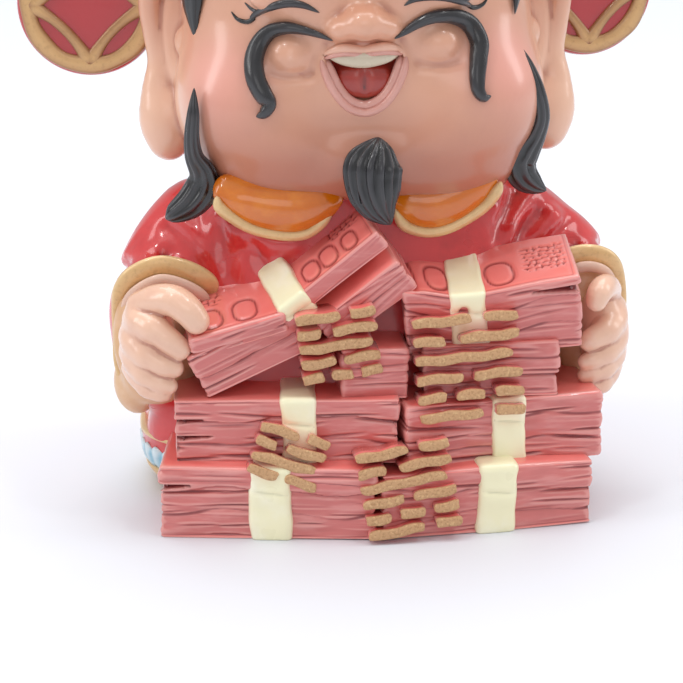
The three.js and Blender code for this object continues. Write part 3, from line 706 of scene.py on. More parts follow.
LOWER_LIP = [(-7.2, 81.6), (-6.6, 79.2), (-5.1, 75.9), (-2.9, 73.1), (.1, 71.9), (3.2, 73.2), (5.4, 76.1),
             (6.8, 79.5), (7.1, 81.8)]
UPPER_LIP_RADII = (.4, .8, .7, .8, .4)
MOUTH_ROWS = [(-6.9, 82.1), (-3.6, 83.3), (0, 82.9), (3.6, 83.4), (6.7, 82.5)]
TEETH = [(-6.3, 82, .3), (-4.2, 81.7, 1.15), (-2, 81.4, 1.5), (.1, 81.3, 1.6), (2.2, 81.5, 1.5),
         (4.3, 81.8, 1.15), (6.2, 82.2, .3)]
BLUSH = [(-23.3, -14.7, 76.4), (23.4, -14.7, 78)]

# Laughing cheeks: middle and half-width, and the crease from the nose round each of them
CHEEKS = [(-12.3, 82.2, 3.5), (12.6, 83.4, 3.7)]
CHEEK_CREASES = [
    (-1, [(4.9, 85.4), (6.6, 83.6), (8.2, 81), (9.4, 78.6)]),
    (1, [(4.9, 85.8), (6.6, 84.2), (7.8, 82), (9.2, 79.4)]),
]

# Rim of the right ear from its top round the back to the big lobe, and the hollow inside it
EAR_RIM = [
    (31.4, 1.2, 93.4, 1.6), (34.2, 2.2, 92.6, 1.9), (36.0, 3, 88, 2.0), (35.4, 3.2, 82, 2.0),
    (34.6, 3.2, 77, 2.2), (35.1, 3, 72, 2.9), (35.0, 2.6, 67, 3.6), (33.6, 2, 63.6, 3.4),
]
EAR_HOLLOW = [
    (31.9, -2.2, 89, 1.5), (32.5, -1.6, 85, 2.0), (32.2, -1.4, 80.6, 1.8), (32.5, -1.8, 76.6, 1.2),
    (32.9, -2.2, 73.4, 0.5),
]
EAR_GROOVE = [(33.9, 0.4, 90, .5), (34.4, 0.6, 84, .7), (33.7, 0.4, 77.5, .4)]


def head_clay():
    """The skin-coloured head with its ears, blended from rounded forms."""
    step = 0.55
    clay = Clay([-41, -27, 52], [41, 27, 124], step)
    clay.join(loft(HEAD_ROWS), even=True)

    # Full cheeks and jowls, with a shallow dip between them and under the lower lip
    for side in (-1, 1):
        clay.join(ball((side * 18.5, -8.6, 72.5), (12.6, 12.4, 12.5)), 5)
        clay.join(ball((side * 13.5, -13.6, 66.5), (8, 6.6, 5.4)), 4)
        clay.join(ball((side * 9, -14.8, 92), (8, 5.2, 6)), 4)
        clay.join(ball((side * 15, -8.6, 60.4), (11, 8.6, 6.4)), 4)
    clay.join(ball((0.3, -14.2, 64.4), (7, 6.8, 4.6)), 4)
    clay.cut(ball((0.2, -23.4, 69.6), (8.6, 3.2, 2.6)), 4)
    return clay


def sculpt_face(clay, settings):
    rise = settings.cheek_rise / MM
    on = clay.on

    # Cheeks push up under the eyes
    for x, z, wide in CHEEKS:
        clay.join(ball(on(x, z, rise - 3.1), (wide, 3.1, 3.3)), 1.1)
    for side, rows in CHEEK_CREASES:
        crease = [[*on(side * x, z, 0.5), 0.62] for x, z in rows]
        crease[0][3] = crease[-1][3] = 0.3
        clay.cut(rope(crease, 8), 1.3)
    for x0, z0, _ in CHEEKS:
        under = [[*on(x0 + a, z0 - 3.6 + 0.05 * a * a, 0.25), 0.3] for a in (-3.4, -1.8, 0, 1.8, 3.4)]
        clay.cut(rope(under, 10), 1.4)

    # Nose: a ball with two small wings, on a low bridge
    tip = on(0, 87.5)
    clay.join(rope([[0, tip[1] + 2.4, 97, 2], [0, tip[1] + 2, 92.5, 2.6], [0, tip[1] + .9, 89.4, 3]], 8), 2)
    clay.join(ball(tip + [0.1, -1.4, 0.2], (3.9, 3.6, 3)), 1.2)
    for side in (-1, 1):
        clay.join(ball(tip + [side * 4.0, -0.4, -0.9], (2.15, 2.4, 1.9)), 1.8)
        clay.cut(ball(tip + [side * 1.9, -2.6, -3.2], (0.9, 0.9, 0.6)), 0.5)

    # Lids: two smooth half rounds above the closed eyes
    for side, z in ((-1, 92.3), (1, 92.8)):
        clay.join(ball(on(side * 12.7, z, -1.6), (6.4, 2.9, 3.1)), 1.6)

    # Open mouth
    middle = on(0.1, 79)[1] + 0.4

    def mouth(x, y, z):
        wide = np.interp(z, [72.1, 72.8, 75.9, 79.2, 82.6], [0.2, 2.0, 4.7, 6.2, 6.8])
        deep = wide * 0.9
        round_ = (np.sqrt(((x - 0.1) / wide) ** 2 + ((y - middle) / deep) ** 2) - 1) * deep
        return np.maximum(round_, z - np.interp(np.abs(x - 0.1), [0, 3.6, 6.7], [82.2, 82.5, 81.9]))

    clay.cut((mouth, np.array([-7, middle - 7, 72]), np.array([7, middle + 7, 83])), 0.3)


def sided(rows, side):
    """Rows of the right side, or the same on the left."""
    return [[side * x, *rest] for x, *rest in rows]


def sculpt_ears(clay):
    for side in (-1, 1):
        clay.join(ball((side * 31.6, 4.4, 79), (3.4, 4.2, 15)), 2)
        clay.join(rope(sided(EAR_RIM, side), 22, flat=0.95), 0.8)
        clay.join(ball((side * 33.4, 2.2, 66.2), (4.3, 3.9, 6.6)), 1.6)
        clay.cut(rope(sided(EAR_HOLLOW, side), 12), 1.1)
        clay.cut(rope(sided(EAR_GROOVE, side), 8), 0.6)
        clay.join(ball((side * 30.2, -1.8, 81.5), (1.7, 2.2, 2.6)), 1.0)


def skin_paint(settings, name, ground):
    # Cast resin sprayed with skin-coloured acrylic and lacquered: even, warm, wet-looking gloss with
    # airbrushed cheeks, a painted highlight on the ridges and a browner painted shade in the hollows and
    # under the jaw
    cheeks = [head_placed(np.array([spot]))[0] for spot in BLUSH]
    # Painted shade: browner skin from the cheeks down to the jaw and under it, near the face's middle
    painted_jaw_shade = {"start": 80, "full": 58, "most": 0.9, "rises": True,
                 "within": {"middle": (0, -14, 64), "start": 34, "full": 26}}
    lobes = [(-36, 0, 68), (36, 0, 70)]
    return painted(
        name, ground,
        [
            # Spray mist of about 2.4 mm patches, drawn coarser than the real mist so that it shows
            ("#d39a84", {"patches": 2.4, "start": 0.45, "full": 0.8, "most": 0.35}),
            # Painted highlight: paler skin on every ridge
            ("#eec0ab", {"follows": "hollow", "start": -0.1, "full": -0.34, "most": 0.4}),
            *[(settings.blush, {"middle": spot, "start": 13.0, "full": 2.0, "most": 0.65})
              for spot in cheeks],
            *[("#efc2a6", {"middle": spot, "start": 20.0, "full": 6.0, "most": 0.7}) for spot in lobes],
            # Painted shade under the jaw
            ("#b2684f", painted_jaw_shade),
            # Painted shade: browner skin in the hollows
            ("#b2705a", {"follows": "hollow", "start": 0.02, "full": 0.26, "most": 0.8}),
        ],
        0.34, {"patches": 5, "seed": 7}, 0.06,
        [({"patches": 0.6, "seed": 3}, 0.012), ({"patches": 3.5, "seed": 5}, 0.05)],
        coat=0.7, coat_roughness=0.16,
    )


def lip_paint():
    # Lip pink brushed thinly over the skin, with painted shade a little darker in the fold
    return painted(
        "polyresin_brushed_lip_pink", "#d69a8c",
        [
            ("#e0a597", {"patches": 1.6, "start": 0.45, "full": 0.75, "most": 0.6}),
            # Painted shade in the fold
            ("#a9564c", {"follows": "hollow", "start": 0.02, "full": 0.3, "most": 0.7}),
        ],
        0.3, {"patches": 2}, 0.06, coat=0.6,
    )


def mouth_paint():
    # Brushed red inside the mouth, brown where it runs out, with a painted highlight on the tongue's crown
    # and painted shade deep in the hollows
    return painted(
        "polyresin_brushed_mouth_red", "#a02e22",
        [
            ("#a0604e", {"start": 75.4, "full": 73.4, "most": 0.6, "rises": True}),
            # Painted highlight: lighter red on the tongue's crown and other rounded parts
            ("#ac4030", {"follows": "hollow", "start": -0.05, "full": -0.3, "most": 0.6}),
            # Painted shade: near-black red deep in the hollows
            ("#551b19", {"follows": "hollow", "start": 0.04, "full": 0.3, "most": 0.85}),
        ],
        0.32, {"patches": 2}, 0.05, [({"patches": 0.5}, 0.02)], coat=0.6,
    )


def teeth_paint():
    # Off-white teeth painted as one strip, their off-white taken darker as painted shade for the mouth they
    # sit in, with painted shade in the hollows
    return painted(
        "polyresin_brushed_tooth_white", "#cfc1a8",
        [
            # Painted shade in the hollows
            ("#a8957c", {"follows": "hollow", "start": 0.02, "full": 0.3, "most": 0.7}),
            ("#e3d9c2", {"patches": 1.5, "start": 0.5, "full": 0.8, "most": 0.5}),
        ],
        0.28, {"patches": 2}, 0.05, coat=0.6,
    )


def sculpted_head(settings):
    clay = head_clay()
    sculpt_ears(clay)
    sculpt_face(clay, settings)
    return clay


def build_face(settings):
    clay = sculpted_head(settings)
    on = clay.on
    piece = Piece("face_and_ears")
    points, quads = clay.skin()
    skin = skin_paint(settings, "polyresin_sprayed_skin_lacquered", settings.skin)
    piece.add(head_placed(points), quads, skin)

    lip, red, white = lip_paint(), mouth_paint(), teeth_paint()
    lower = [[x, on(x * 1.18, z - 1.1)[1] + 0.1, z, 0.72] for x, z in LOWER_LIP]
    lower[0][3] = lower[-1][3] = 0.4
    piece.add(*placed(strand(lower, 12, 40, 0.95)), lip)
    inner = [[x * 0.88, y + 0.9, 81.4 + (z - 81.4) * 0.89, 0.95] for x, y, z, r in lower]
    inner[0][3] = inner[-1][3] = 0.4
    piece.add(*placed(strand(inner, 14, 40, 0.95)), lip)
    upper = [[x, on(x, z + 1.3)[1] + 0.35, z + 0.1, r] for (x, z), r in zip(MOUTH_ROWS, UPPER_LIP_RADII)]
    piece.add(*placed(strand(upper, 12, 30, 0.9)), skin)
    piece.add(*placed(strand([[x, y + .05, z - .85, r * .75] for x, y, z, r in upper], 10, 30, 0.9)), lip)

    # Back wall, tongue with a crease down its middle, and the strip of teeth
    depth = on(0.1, 84.6)[1]
    inside = Clay([-8, -20.5, 70], [8, -8, 86], 0.4)
    inside.join(ball((0.1, depth + 6, 80.4), (6.9, 3, 7.6)))
    inside.join(ball((0.1, depth + 3.8, 77.4), (5.4, 2.6, 3.4)), 0.8)
    crease = [[0.1, depth + 1.4, 81, .4], [0.1, depth + 1.1, 77.6, .7], [0.1, depth + 1.5, 74.6, .5]]
    inside.cut(rope(crease, 6), 0.7)
    points, quads = inside.skin()
    piece.add(head_placed(points), quads, red)
    teeth = [[x, depth + 1.9 - 0.5 * math.cos(x / 5), z, r] for x, z, r in TEETH]
    piece.add(*placed(strand(teeth, 12, 30, 0.6)), white)
    piece.finish()


def placed(form):
    return head_placed(form[0]), form[1]


# Hair and beard

LOCKS = [
    [(-28.6, -17.5, 76.8, 0.3), (-28.9, -18.1, 72.6, 1.1), (-29.3, -17.5, 68.3, 1.4),
     (-29, -16.1, 64.6, 1.75), (-27.7, -14.6, 61.3, 2.5), (-27.8, -14, 58.7, 3.1),
     (-29.8, -13.7, 55.9, 2.9), (-32.8, -13.3, 53.8, 1.9), (-34.4, -13, 52.8, 0.5)],
    [(26.9, -13.2, 81.6, 0.4), (28.5, -13.4, 77.8, 1.1), (29.9, -13.3, 73.7, 1.5),
     (30.7, -12.5, 69.1, 1.75), (29.9, -11.3, 65.5, 2.1), (28.2, -10.5, 62.4, 2.9),
     (27.3, -10.1, 60.2, 3.2), (28.1, -9.7, 57.8, 2.9), (30.1, -9.1, 55.9, 1.9), (32.3, -8.6, 54.6, 0.5)],
]
SIDEBURNS = [
    [(-27.6, -8.6, 101, 3.4), (-28.0, -8.6, 95, 3.2), (-28.4, -8.4, 90, 2.6), (-28.4, -8.6, 86.6, 1.5),
     (-28.0, -9.2, 82.8, .2)],
    [(26.0, -10.6, 101, 3.0), (26.6, -10.6, 95, 2.5), (26.7, -10.8, 91, 1.7), (26.6, -11.2, 88.8, .8),
     (26.3, -11.6, 86.6, .15)],
]
GOATEE = [
    [(2.2, -21.1, 68.2, 0.8), (1.8, -21.6, 66.4, 3.1), (1.1, -22.2, 63.8, 5), (1, -22.5, 61.2, 5),
     (1.4, -22.8, 58.6, 4.5), (2.1, -22.8, 56.4, 3.4), (3.1, -22.7, 54.6, 1.9), (4, -22.6, 53.2, 0.4)],
    [(-0.6, -22.7, 62.4, 0.6), (-1.3, -23.1, 60.2, 2), (-1.2, -23.4, 58, 1.8), (-0.5, -23.4, 56, 0.4)],
]

# Block of space that the nape's hair is made in: its low and high corners
NAPE_BOX = ([-33, -4, 62], [33, 28, 94])


def hair_paint(settings):
    # Black acrylic brushed over combed resin, lacquered: a painted highlight of soft grey on every ridge,
    # painted shade deep black in the lines
    return painted(
        "polyresin_brushed_black_lacquered", settings.hair,
        [
            # Painted highlight: soft grey on the ridges
            ("#343236", {"follows": "hollow", "start": -0.03, "full": -0.28, "most": 0.7}),
            ("#5a4034", {"patches": 1.3, "start": 0.6, "full": 0.85, "most": 0.3}),
            # Painted shade: deep black in the lines
            ("#09080a", {"follows": "hollow", "start": 0.03, "full": 0.25, "most": 0.9}),
        ],
        0.3, {"patches": 3}, 0.07,
        # Brush hairs at about 0.35 mm, close to the real 0.2 mm ones
        [({"patches": 0.35, "seed": 1, "stretch": (3.2, 3.2, 0.6)}, 0.03)], coat=0.55, coat_roughness=0.12,
    )


def build_hair(settings):
    on = sculpted_head(settings).on
    groove = settings.hair_groove / MM
    piece = Piece("hair_and_beard")
    black = hair_paint(settings)
    full = settings.moustache_radius / MM / 1.65
    for rows in MOUSTACHES:
        route = [[*on(x, z, 0.45 + 0.25 * r), r * full] for x, z, r in rows]
        piece.add(*placed(strand(route, 16, 80, 0.82, grooves=5, depth=groove * 0.5, twist=2)), black)
    for rows in EYES + LASHES:
        route = [[*on(x, z, 0.1), r] for x, z, r in rows]
        piece.add(*placed(strand(route, 10, 36, 0.75)), black)
    for rows in BROWS:
        route = [[*on(x, z, 0.15), r] for x, z, r in rows]
        piece.add(*placed(strand(route, 14, 50, 0.62, grooves=5, depth=groove * 0.6, twist=1.2)), black)
    for n, rows in enumerate(LOCKS):
        facing = (0.35 * (1 if n else -1), -1, 0.1)
        piece.add(*placed(strand(rows, 40, 110, 0.72, facing, 9, groove, 1.3 * (1 if n else -1))), black)
    for n, rows in enumerate(SIDEBURNS):
        facing = (0.8 * (1 if n else -1), -0.6, 0)
        piece.add(*placed(strand(rows, 30, 60, 0.55, facing, 7, groove * 0.7)), black)
    for rows in GOATEE:
        piece.add(*placed(strand(rows, 72, 90, 0.55, grooves=15, depth=groove, twist=0.5)), black)

    # Nape hair below the hat's back
    nape = Clay(*NAPE_BOX, 0.8)
    nape.join(loft([[row[0], row[1] + 0.9, 1, row[3] + 1.0] for row in HEAD_ROWS if row[0] > 60]), even=True)
    nape.cut(loft([[row[0] - 1, row[1] + 0.2, 40, row[3] - 3] for row in HEAD_ROWS if row[0] > 55]))
    part, grid = nape.window(*NAPE_BOX, 0)
    nape.field[part] = np.maximum(np.maximum(nape.field[part], 5.5 - grid[1]), grid[2] - 93)

    def combed(x, y, z):
        return groove * 1.3 * (np.abs(np.sin(x * 0.62 + 0.5 * np.sin(z * 0.22))) ** 0.5 - 0.6)

    nape.swell(combed, *NAPE_BOX)
    points, quads = nape.skin()
    piece.add(head_placed(points), quads, black)
    piece.finish()


# Hat and its two round wings

# The brim's lower edge: its height at the front, how far out that is, and how it falls to the back
HAT_FRONT = 101.0
HAT_FRONT_DEPTH = 20
HAT_SLOPE = 0.35
# Height and half-width of the brim itself
BRIM_HEIGHT = 5.5
BRIM_HALF_WIDTH = 31
# Block of space that the hat is made in: its low and high corners
HAT_BOX = ([-36, -26, 78], [36, 31, 141])
# The knot of the crown stands this far back, with a gold cord at this height
KNOT_BACK = 8
KNOT_CORD_Z = 124.5
# Depth of a wing's face before the wing's middle
WING_FACE = 2.6
BRIM_ROWS = [[77, 28.2, 18.4, 24], [89, 31.6, 19.6, 26.6], [103, 30.8, 21, 26.6], [109.5, 29.6, 20.4, 25.2]]
CROWN_ROWS = [[71, 20, 14, 16], [83, 29.4, 18.4, 25.4], [101, 29.8, 20, 25.4], [111, 28.2, 18.8, 23.9],
              [119, 23.1, 14.7, 19.1], [124.4, 11.3, 7, 9.6], [126, 1, 1, 1]]
KNOT_ROWS = [[112, 15.3, 10.3, 10.3], [122, 17, 11.4, 11.4], [132, 16.4, 11, 11], [136.6, 13.6, 9, 9],
             [139, 8, 5.2, 5.2], [139.8, 2, 1.4, 1.4]]
WINGS = [(-45.6, 16, 85.2, 12.9, -8), (43.9, 16, 86, 12.3, 8)]


def red_paint(name, colour):
    # Cast resin sprayed red and lacquered: deep wet gloss, darker in uneven patches of spray, with a painted
    # highlight on the ridges and painted shade in the hollows
    return painted(
        name, colour,
        [
            ("#a81c20", {"patches": 3, "start": 0.45, "full": 0.8, "most": 0.45}),
            # Painted highlight: lighter red on the ridges
            ("#dc4f4a", {"follows": "hollow", "start": -0.05, "full": -0.35, "most": 0.35}),
            # Painted shade: dark red in the hollows
            ("#6e1015", {"follows": "hollow", "start": 0.02, "full": 0.32, "most": 0.8}),
        ],
        0.3, {"patches": 4, "seed": 3}, 0.06,
        [({"patches": 0.9, "seed": 5}, 0.03), ({"patches": 4.5, "seed": 8}, 0.16)],
        coat=0.85, coat_roughness=0.07,
    )


def gold_paint(colour):
    # Gold acrylic with bronze flake, brushed by hand over the red and lacquered: a soft pearly
    # shine, with a painted highlight on the ridges and browner painted shade in the hollows
    return painted(
        "polyresin_brushed_gold_flake", colour,
        [
            # Flake of about 0.4 mm, drawn coarser than the real 0.05 mm
            ("#b58a58", {"patches": 0.4, "seed": 2, "start": 0.48, "full": 0.75, "most": 0.45}),
            # Painted highlight: pale gold on the ridges
            ("#edd0a0", {"follows": "hollow", "start": -0.05, "full": -0.35, "most": 0.5}),
            # Painted shade: brown in the hollows
            ("#8a5636", {"follows": "hollow", "start": 0.03, "full": 0.32, "most": 0.75}),
        ],
        0.4, {"patches": 0.5, "seed": 6}, 0.08, [({"patches": 0.7, "seed": 4}, 0.02)],
        coat=0.5, coat_roughness=0.12, metallic=0.25,
    )


def outline_at(rows, turn, height):
    """Places round a lofted body at a height for each turn."""
    width, front, back = table(rows)(height)
    c, s = np.cos(turn), np.sin(turn)
    depth = np.where(s < 0, front, back)
    x = width * np.sign(c) * np.abs(c) ** (2 / ROUNDNESS)
    y = depth * np.sign(s) * np.abs(s) ** (2 / ROUNDNESS)
    return x, y


def hat_ring(rise, out, radius, count=160):
    """Cord laid round the hat, parallel to its sloping brim."""
    turn = np.linspace(0, 2 * math.pi, count, endpoint=False)
    z = np.full(count, HAT_FRONT + rise)
    for _ in range(6):
        x, y = outline_at(BRIM_ROWS, turn, z)
        z = HAT_FRONT + rise - (y + HAT_FRONT_DEPTH) * HAT_SLOPE
    x, y = outline_at(BRIM_ROWS, turn, z)
    grow = 1 + out / np.hypot(x, y)
    return cord(np.stack([x * grow, y * grow, z], 1), radius)


def cord(line, radius, around=10):
    """Closed ring of cord along a closed line."""
    way = np.roll(line, -1, 0) - np.roll(line, 1, 0)
    way /= np.linalg.norm(way, axis=1)[:, None]
    side = np.cross(way, [0, 0, 1.0])
    side /= np.linalg.norm(side, axis=1)[:, None]
    rise = np.cross(side, way)
    turn = np.linspace(0, 2 * math.pi, around, endpoint=False)
    radius = np.broadcast_to(radius, len(line))
    points = line[:, None] + side[:, None] * (np.cos(turn) * radius[:, None])[..., None]
    points = (points + rise[:, None] * (np.sin(turn) * radius[:, None])[..., None]).reshape(-1, 3)
    i, j = np.meshgrid(np.arange(len(line)), np.arange(around), indexing="ij")
    i2, j2 = (i + 1) % len(line), (j + 1) % around
    faces = np.stack([i * around + j, i * around + j2, i2 * around + j2, i2 * around + j], -1).reshape(-1, 4)
    return points, [tuple(f) for f in faces]


def below_brim(rise):
    """Everything below the sloping lower edge of the hat."""
    def distance(x, y, z):
        over = z - (HAT_FRONT + rise) + (y + HAT_FRONT_DEPTH) * HAT_SLOPE
        return over / math.hypot(1, HAT_SLOPE) + 0 * x

    return distance, np.array([-45, -35, 60]), np.array([45, 35, 145])


def build_hat(settings, robe):
    step = 0.75
    red, gold = red_paint("polyresin_sprayed_hat_red", settings.hat), gold_paint(robe.gold)
    piece = Piece("hat_and_wings")
    clay = Clay(*HAT_BOX, step)
    clay.join(loft(CROWN_ROWS), even=True)
    clay.cut(below_brim(0))
    band = Clay(*HAT_BOX, step)
    band.join(loft(BRIM_ROWS), even=True)
    band.cut(below_brim(-1))
    part, grid = band.window(band.low, band.low + band.step * band.size, 0)
    top = (grid[2] - HAT_FRONT - BRIM_HEIGHT + (grid[1] + HAT_FRONT_DEPTH) * HAT_SLOPE) + 0 * grid[0]
    band.field[part] = np.maximum(band.field[part], top)
    clay.field = np.minimum(clay.field, band.field)
    distance, low, high = loft(KNOT_ROWS)
    back = [0, KNOT_BACK, 0]
    clay.join((lambda x, y, z: distance(x, y - KNOT_BACK, z), low + back, high + back), 2.0, even=True)

    def pleats(x, y, z):
        """Soft pleats gather the crown towards the knot."""
        return 0.35 * np.cos(14 * np.arctan2(y - 4, x)) * smooth(108, 116, z) * smooth(137, 126, z)

    clay.swell(pleats, *HAT_BOX)
    points, quads = clay.skin()
    piece.add(head_placed(points), quads, red)
    for rise, out, radius in ((-0.4, 0.3, 1.15), (5.9, 0.1, 1.0)):
        points, faces = hat_ring(rise, out, radius)
        piece.add(head_placed(points), faces, gold)
    turn = np.linspace(0, 2 * math.pi, 120, endpoint=False)
    x, y = outline_at(KNOT_ROWS, turn, np.full(120, KNOT_CORD_Z))
    points, faces = cord(np.stack([x * 1.01, y * 1.01 + KNOT_BACK, 0 * x + KNOT_CORD_Z], 1), 0.95)
    piece.add(head_placed(points), faces, gold)

    # Round cabochon in a gold collar on the brow, with a cloud scroll at each side of it
    brow = np.array([0, -21.6, 106.4])
    dome = [[0, -2.2], [1.6, -2.0], [2.9, -1.3], [3.6, -0.2], [3.7, 0.9], [0, 1.2]]
    piece.add(*placed(spun(dome, 32, brow, np.eye(3))), red)
    collar = [[0, -0.9], [3.5, -0.9], [4.0, -1.4], [4.6, -1.3], [4.9, -0.4], [4.7, 0.8], [0, 1.2]]
    piece.add(*placed(spun(collar, 40, brow, np.eye(3))), gold)
    for side in (-1, 1):
        scroll = []
        for t in np.linspace(0, 3, 9):
            across = side * (5.2 + 3.0 * t - 1.1 * math.sin(5 * t) * t)
            height = 106.2 + 1.9 * math.sin(4.2 * t)
            round_ = (1 - (abs(across) / BRIM_HALF_WIDTH) ** ROUNDNESS) ** (1 / ROUNDNESS)
            front = -float(table(BRIM_ROWS)(height)[1]) * round_ - 0.1
            scroll.append([across, front, height, 0.75 - 0.16 * t])
        piece.add(*placed(strand(scroll, 10, 60, 0.8)), gold)

    for x, y, z, radius, angle in WINGS:
        side = math.copysign(1, x)
        spin = turned(z=angle)
        add_wing(piece, (x, y, z), radius, spin, red, gold)
        stem = [[x - side * radius * 0.7, y, z + 0.6, 3.1], [side * 28, y - 1, z + 2, 3.1],
                [side * 18, y - 4, z + 4, 3.1]]
        piece.add(*strand(stem, 20, 24, 1.0), red)
    piece.finish()


def add_wing(piece, centre, radius, spin, red, gold):
    """Round wing: red disc with a rolled rim, gold ring and four gold bows that meet on the ring."""
    rim = [
        [0, -2.55], [radius - 4.6, -2.6], [radius - 1.9, -2.6], [radius - 1.0, -2.7], [radius - 0.55, -2.6],
        [radius - 0.2, -2.0], [radius, -1.0], [radius, 1.0], [radius - 0.3, 2.2], [radius - 1.0, 3.0],
        [radius - 2.2, 3.2], [0, 3.2],
    ]
    piece.add(*spun(rim, 96, centre, spin), red)
    ring = radius - 2.15
    turn = np.linspace(0, 2 * math.pi, 128, endpoint=False)
    wave = 0.06 * np.sin(5 * turn) + 0.05 * np.sin(9 * turn + 1)

    def band(line, half, closed):
        """Raised band with rounded shoulders along a line in the wing's face."""
        way = np.gradient(line, axis=0) if not closed else np.roll(line, -1, 0) - np.roll(line, 1, 0)
        way /= np.linalg.norm(way, axis=1)[:, None]
        side = np.stack([-way[:, 1], way[:, 0]], 1)
        section = [(-1.0, 0.6), (-1.0, -0.35), (-0.86, -0.72), (-0.55, -0.92), (0, -1.0), (0.55, -0.92),
                   (0.86, -0.72), (1.0, -0.35), (1.0, 0.6)]
        half = np.broadcast_to(half, len(line))
        rows = []
        for across, up in section:
            at = line + side * (across * half)[:, None]
            depth = -WING_FACE + (0.75 * up if up < 0 else up)
            rows.append(np.stack([at[:, 0], np.full(len(at), depth), at[:, 1]], 1))
        points = np.stack(rows, 1).reshape(-1, 3)
        n, m = len(line), len(section)
        faces = []
        for i in range(n if closed else n - 1):
            for j in range(m):
                a, b = i * m + j, i * m + (j + 1) % m
                c, d = ((i + 1) % n) * m + (j + 1) % m, ((i + 1) % n) * m + j
                faces.append((a, b, c, d))
        if not closed:
            faces += [tuple(range(m))[::-1], tuple(range((n - 1) * m, n * m))]
        piece.add(points @ spin.T + np.array(centre), faces, gold)

    circle = np.stack([(ring + wave) * np.cos(turn), (ring + wave) * np.sin(turn)], 1)
    band(circle, 1.5 + 0.12 * np.sin(7 * turn), True)
    for quarter in range(4):
        start, end = quarter * math.pi / 2, (quarter + 1) * math.pi / 2
        share = np.linspace(0, 1, 30)[:, None]
        a, b = (np.array([math.cos(t), math.sin(t)]) * (ring - 0.3) for t in (start, end))
        dip = np.array([math.cos((start + end) / 2), math.sin((start + end) / 2)]) * ring * 0.46
        line = (1 - share) ** 2 * a + 2 * share * (1 - share) * dip + share**2 * b
        half = 0.9 + 0.8 * np.abs(2 * share[:, 0] - 1) ** 3
        band(line, half, False)


# Robe, collar, sleeves and hem

ROBE_MIDDLE = -0.8
# Block of space that the robe is made in: its low and high corners
ROBE_BOX = ([-56, -27, -1.5], [56, 33, 65])
ROBE_ROWS = [[0, 33, 18, 23], [4.5, 36.8, 18, 28], [9, 38.0, 18, 28.6], [18, 36.6, 19, 28],
             [32, 35, 17, 25.5], [42, 33.4, 15, 24], [48, 30.5, 14, 22], [55, 24, 13, 18], [60, 16, 11, 13],
             [63, 3, 3, 3]]
ARMS = [
    {"side": -1, "shoulder": (-25.5, 3, 44), "elbow": (-34, 0.5, 38.5), "cuff": (-36, -9, 31.5),
     "mouth": (8.2, 14.6)},
    {"side": 1, "shoulder": (28, 3, 44.5), "elbow": (37.4, 0.5, 39), "cuff": (39.8, -8, 32),
     "mouth": (7.4, 13)},
]
COLLAR_LOBES = [
    [(-24.6, -15.6, 57.3, 1.6), (-21.2, -15.9, 56.1, 3.0), (-17.2, -15.9, 54.9, 3.8),
     (-12.6, -15.9, 54.4, 4.0), (-8.6, -15.9, 55.2, 3.2), (-6, -15.9, 56.2, 1.9)],
    [(-23.8, -14, 58.2, 2.6), (-18, -13.8, 57.8, 3.4), (-12, -13.8, 57, 3.6), (-7, -13.8, 57.2, 2.8)],
    [(6, -15.9, 55.6, 1.9), (8.6, -15.9, 54.6, 3.4), (11.4, -15.9, 54.3, 3.9), (14.8, -15.9, 55.2, 3.7),
     (18.2, -15.9, 57, 3.0), (21.2, -15.7, 58.8, 1.7)],
    [(7, -13.8, 57.4, 2.4), (12, -13.8, 57.8, 3.4), (17, -13.8, 59.4, 3.0), (22, -12.8, 60.6, 2.4)],
]
PIPING = [
    [(-26, 57.6), (-25.5, 55.6), (-23.1, 53.5), (-20.3, 51.8), (-17.2, 50.8), (-13.4, 50.2), (-10.6, 50.5),
     (-8.2, 52.1), (-6.1, 54.2)],
    [(4.5, 54.4), (6, 51.8), (7.8, 50.6), (10.6, 50), (13.8, 50.5), (17.2, 52.1), (20.4, 54.3),
     (22.4, 56.8), (23.2, 58.6)],
]
SHOULDERS = [
    [(-21, 3, 49.6, 6.4), (-27.4, 3, 49.4, 6.6), (-30.2, 2.5, 47.5, 6.7), (-33, 2, 44, 6.7),
     (-34.6, 1, 40.5, 6.7)],
    [(23, 3, 49.2, 6.2), (30, 3, 47.5, 6.6), (34, 2.5, 43.6, 6.7), (37.2, 1.5, 40.7, 6.7),
     (39.3, 0.5, 36.9, 6.7)],
]
# Folds pulled in and swelled out along the cloth
FURROWS = [
    [(-37.1, 49.7, .4), (-34, 49.3, .9), (-30.9, 47, 1.1), (-28.9, 44, .9), (-26.7, 40.7, .4)],
    [(-21.8, 46.8, .3), (-23.2, 44.7, .7), (-23.2, 41.3, .4)],
    [(-25.2, 50.6, .3), (-24.6, 46.9, .6), (-24.4, 42, .4)],
    [(-20.4, 48.6, .3), (-18.8, 46.4, .6), (-17.6, 44, .3)],
    [(35.8, 51.4, .4), (32.6, 49.4, 1.0), (29.8, 47.2, 1.0), (27.8, 44.6, .5)],
    [(28.6, 53, .3), (26.6, 51, .8), (24.9, 48.8, .8), (24.2, 46.4, .4)],
    [(38.4, 47.4, .3), (35.4, 45, .8), (33.4, 42.4, .7), (32.6, 39.6, .3)],
]
RIDGES = [
    [(-32.6, 49.6, .4), (-30.5, 47.9, .8), (-28.8, 45.2, .5)],
    [(-24.8, 51.9, .4), (-21.8, 49.8, .8), (-18, 48, .8), (-12.7, 47.6, .4)],
    [(32.3, 52.2, .4), (29, 49.8, .9), (26.7, 47.3, .9), (25.5, 45.7, .4)],
    [(37.5, 50.4, .4), (34.8, 48.3, .9), (32.3, 46.5, .8), (30.7, 44.9, .4)],
    [(23.4, 54.7, .4), (24.6, 53.1, .7), (24, 51.1, .4)],
]


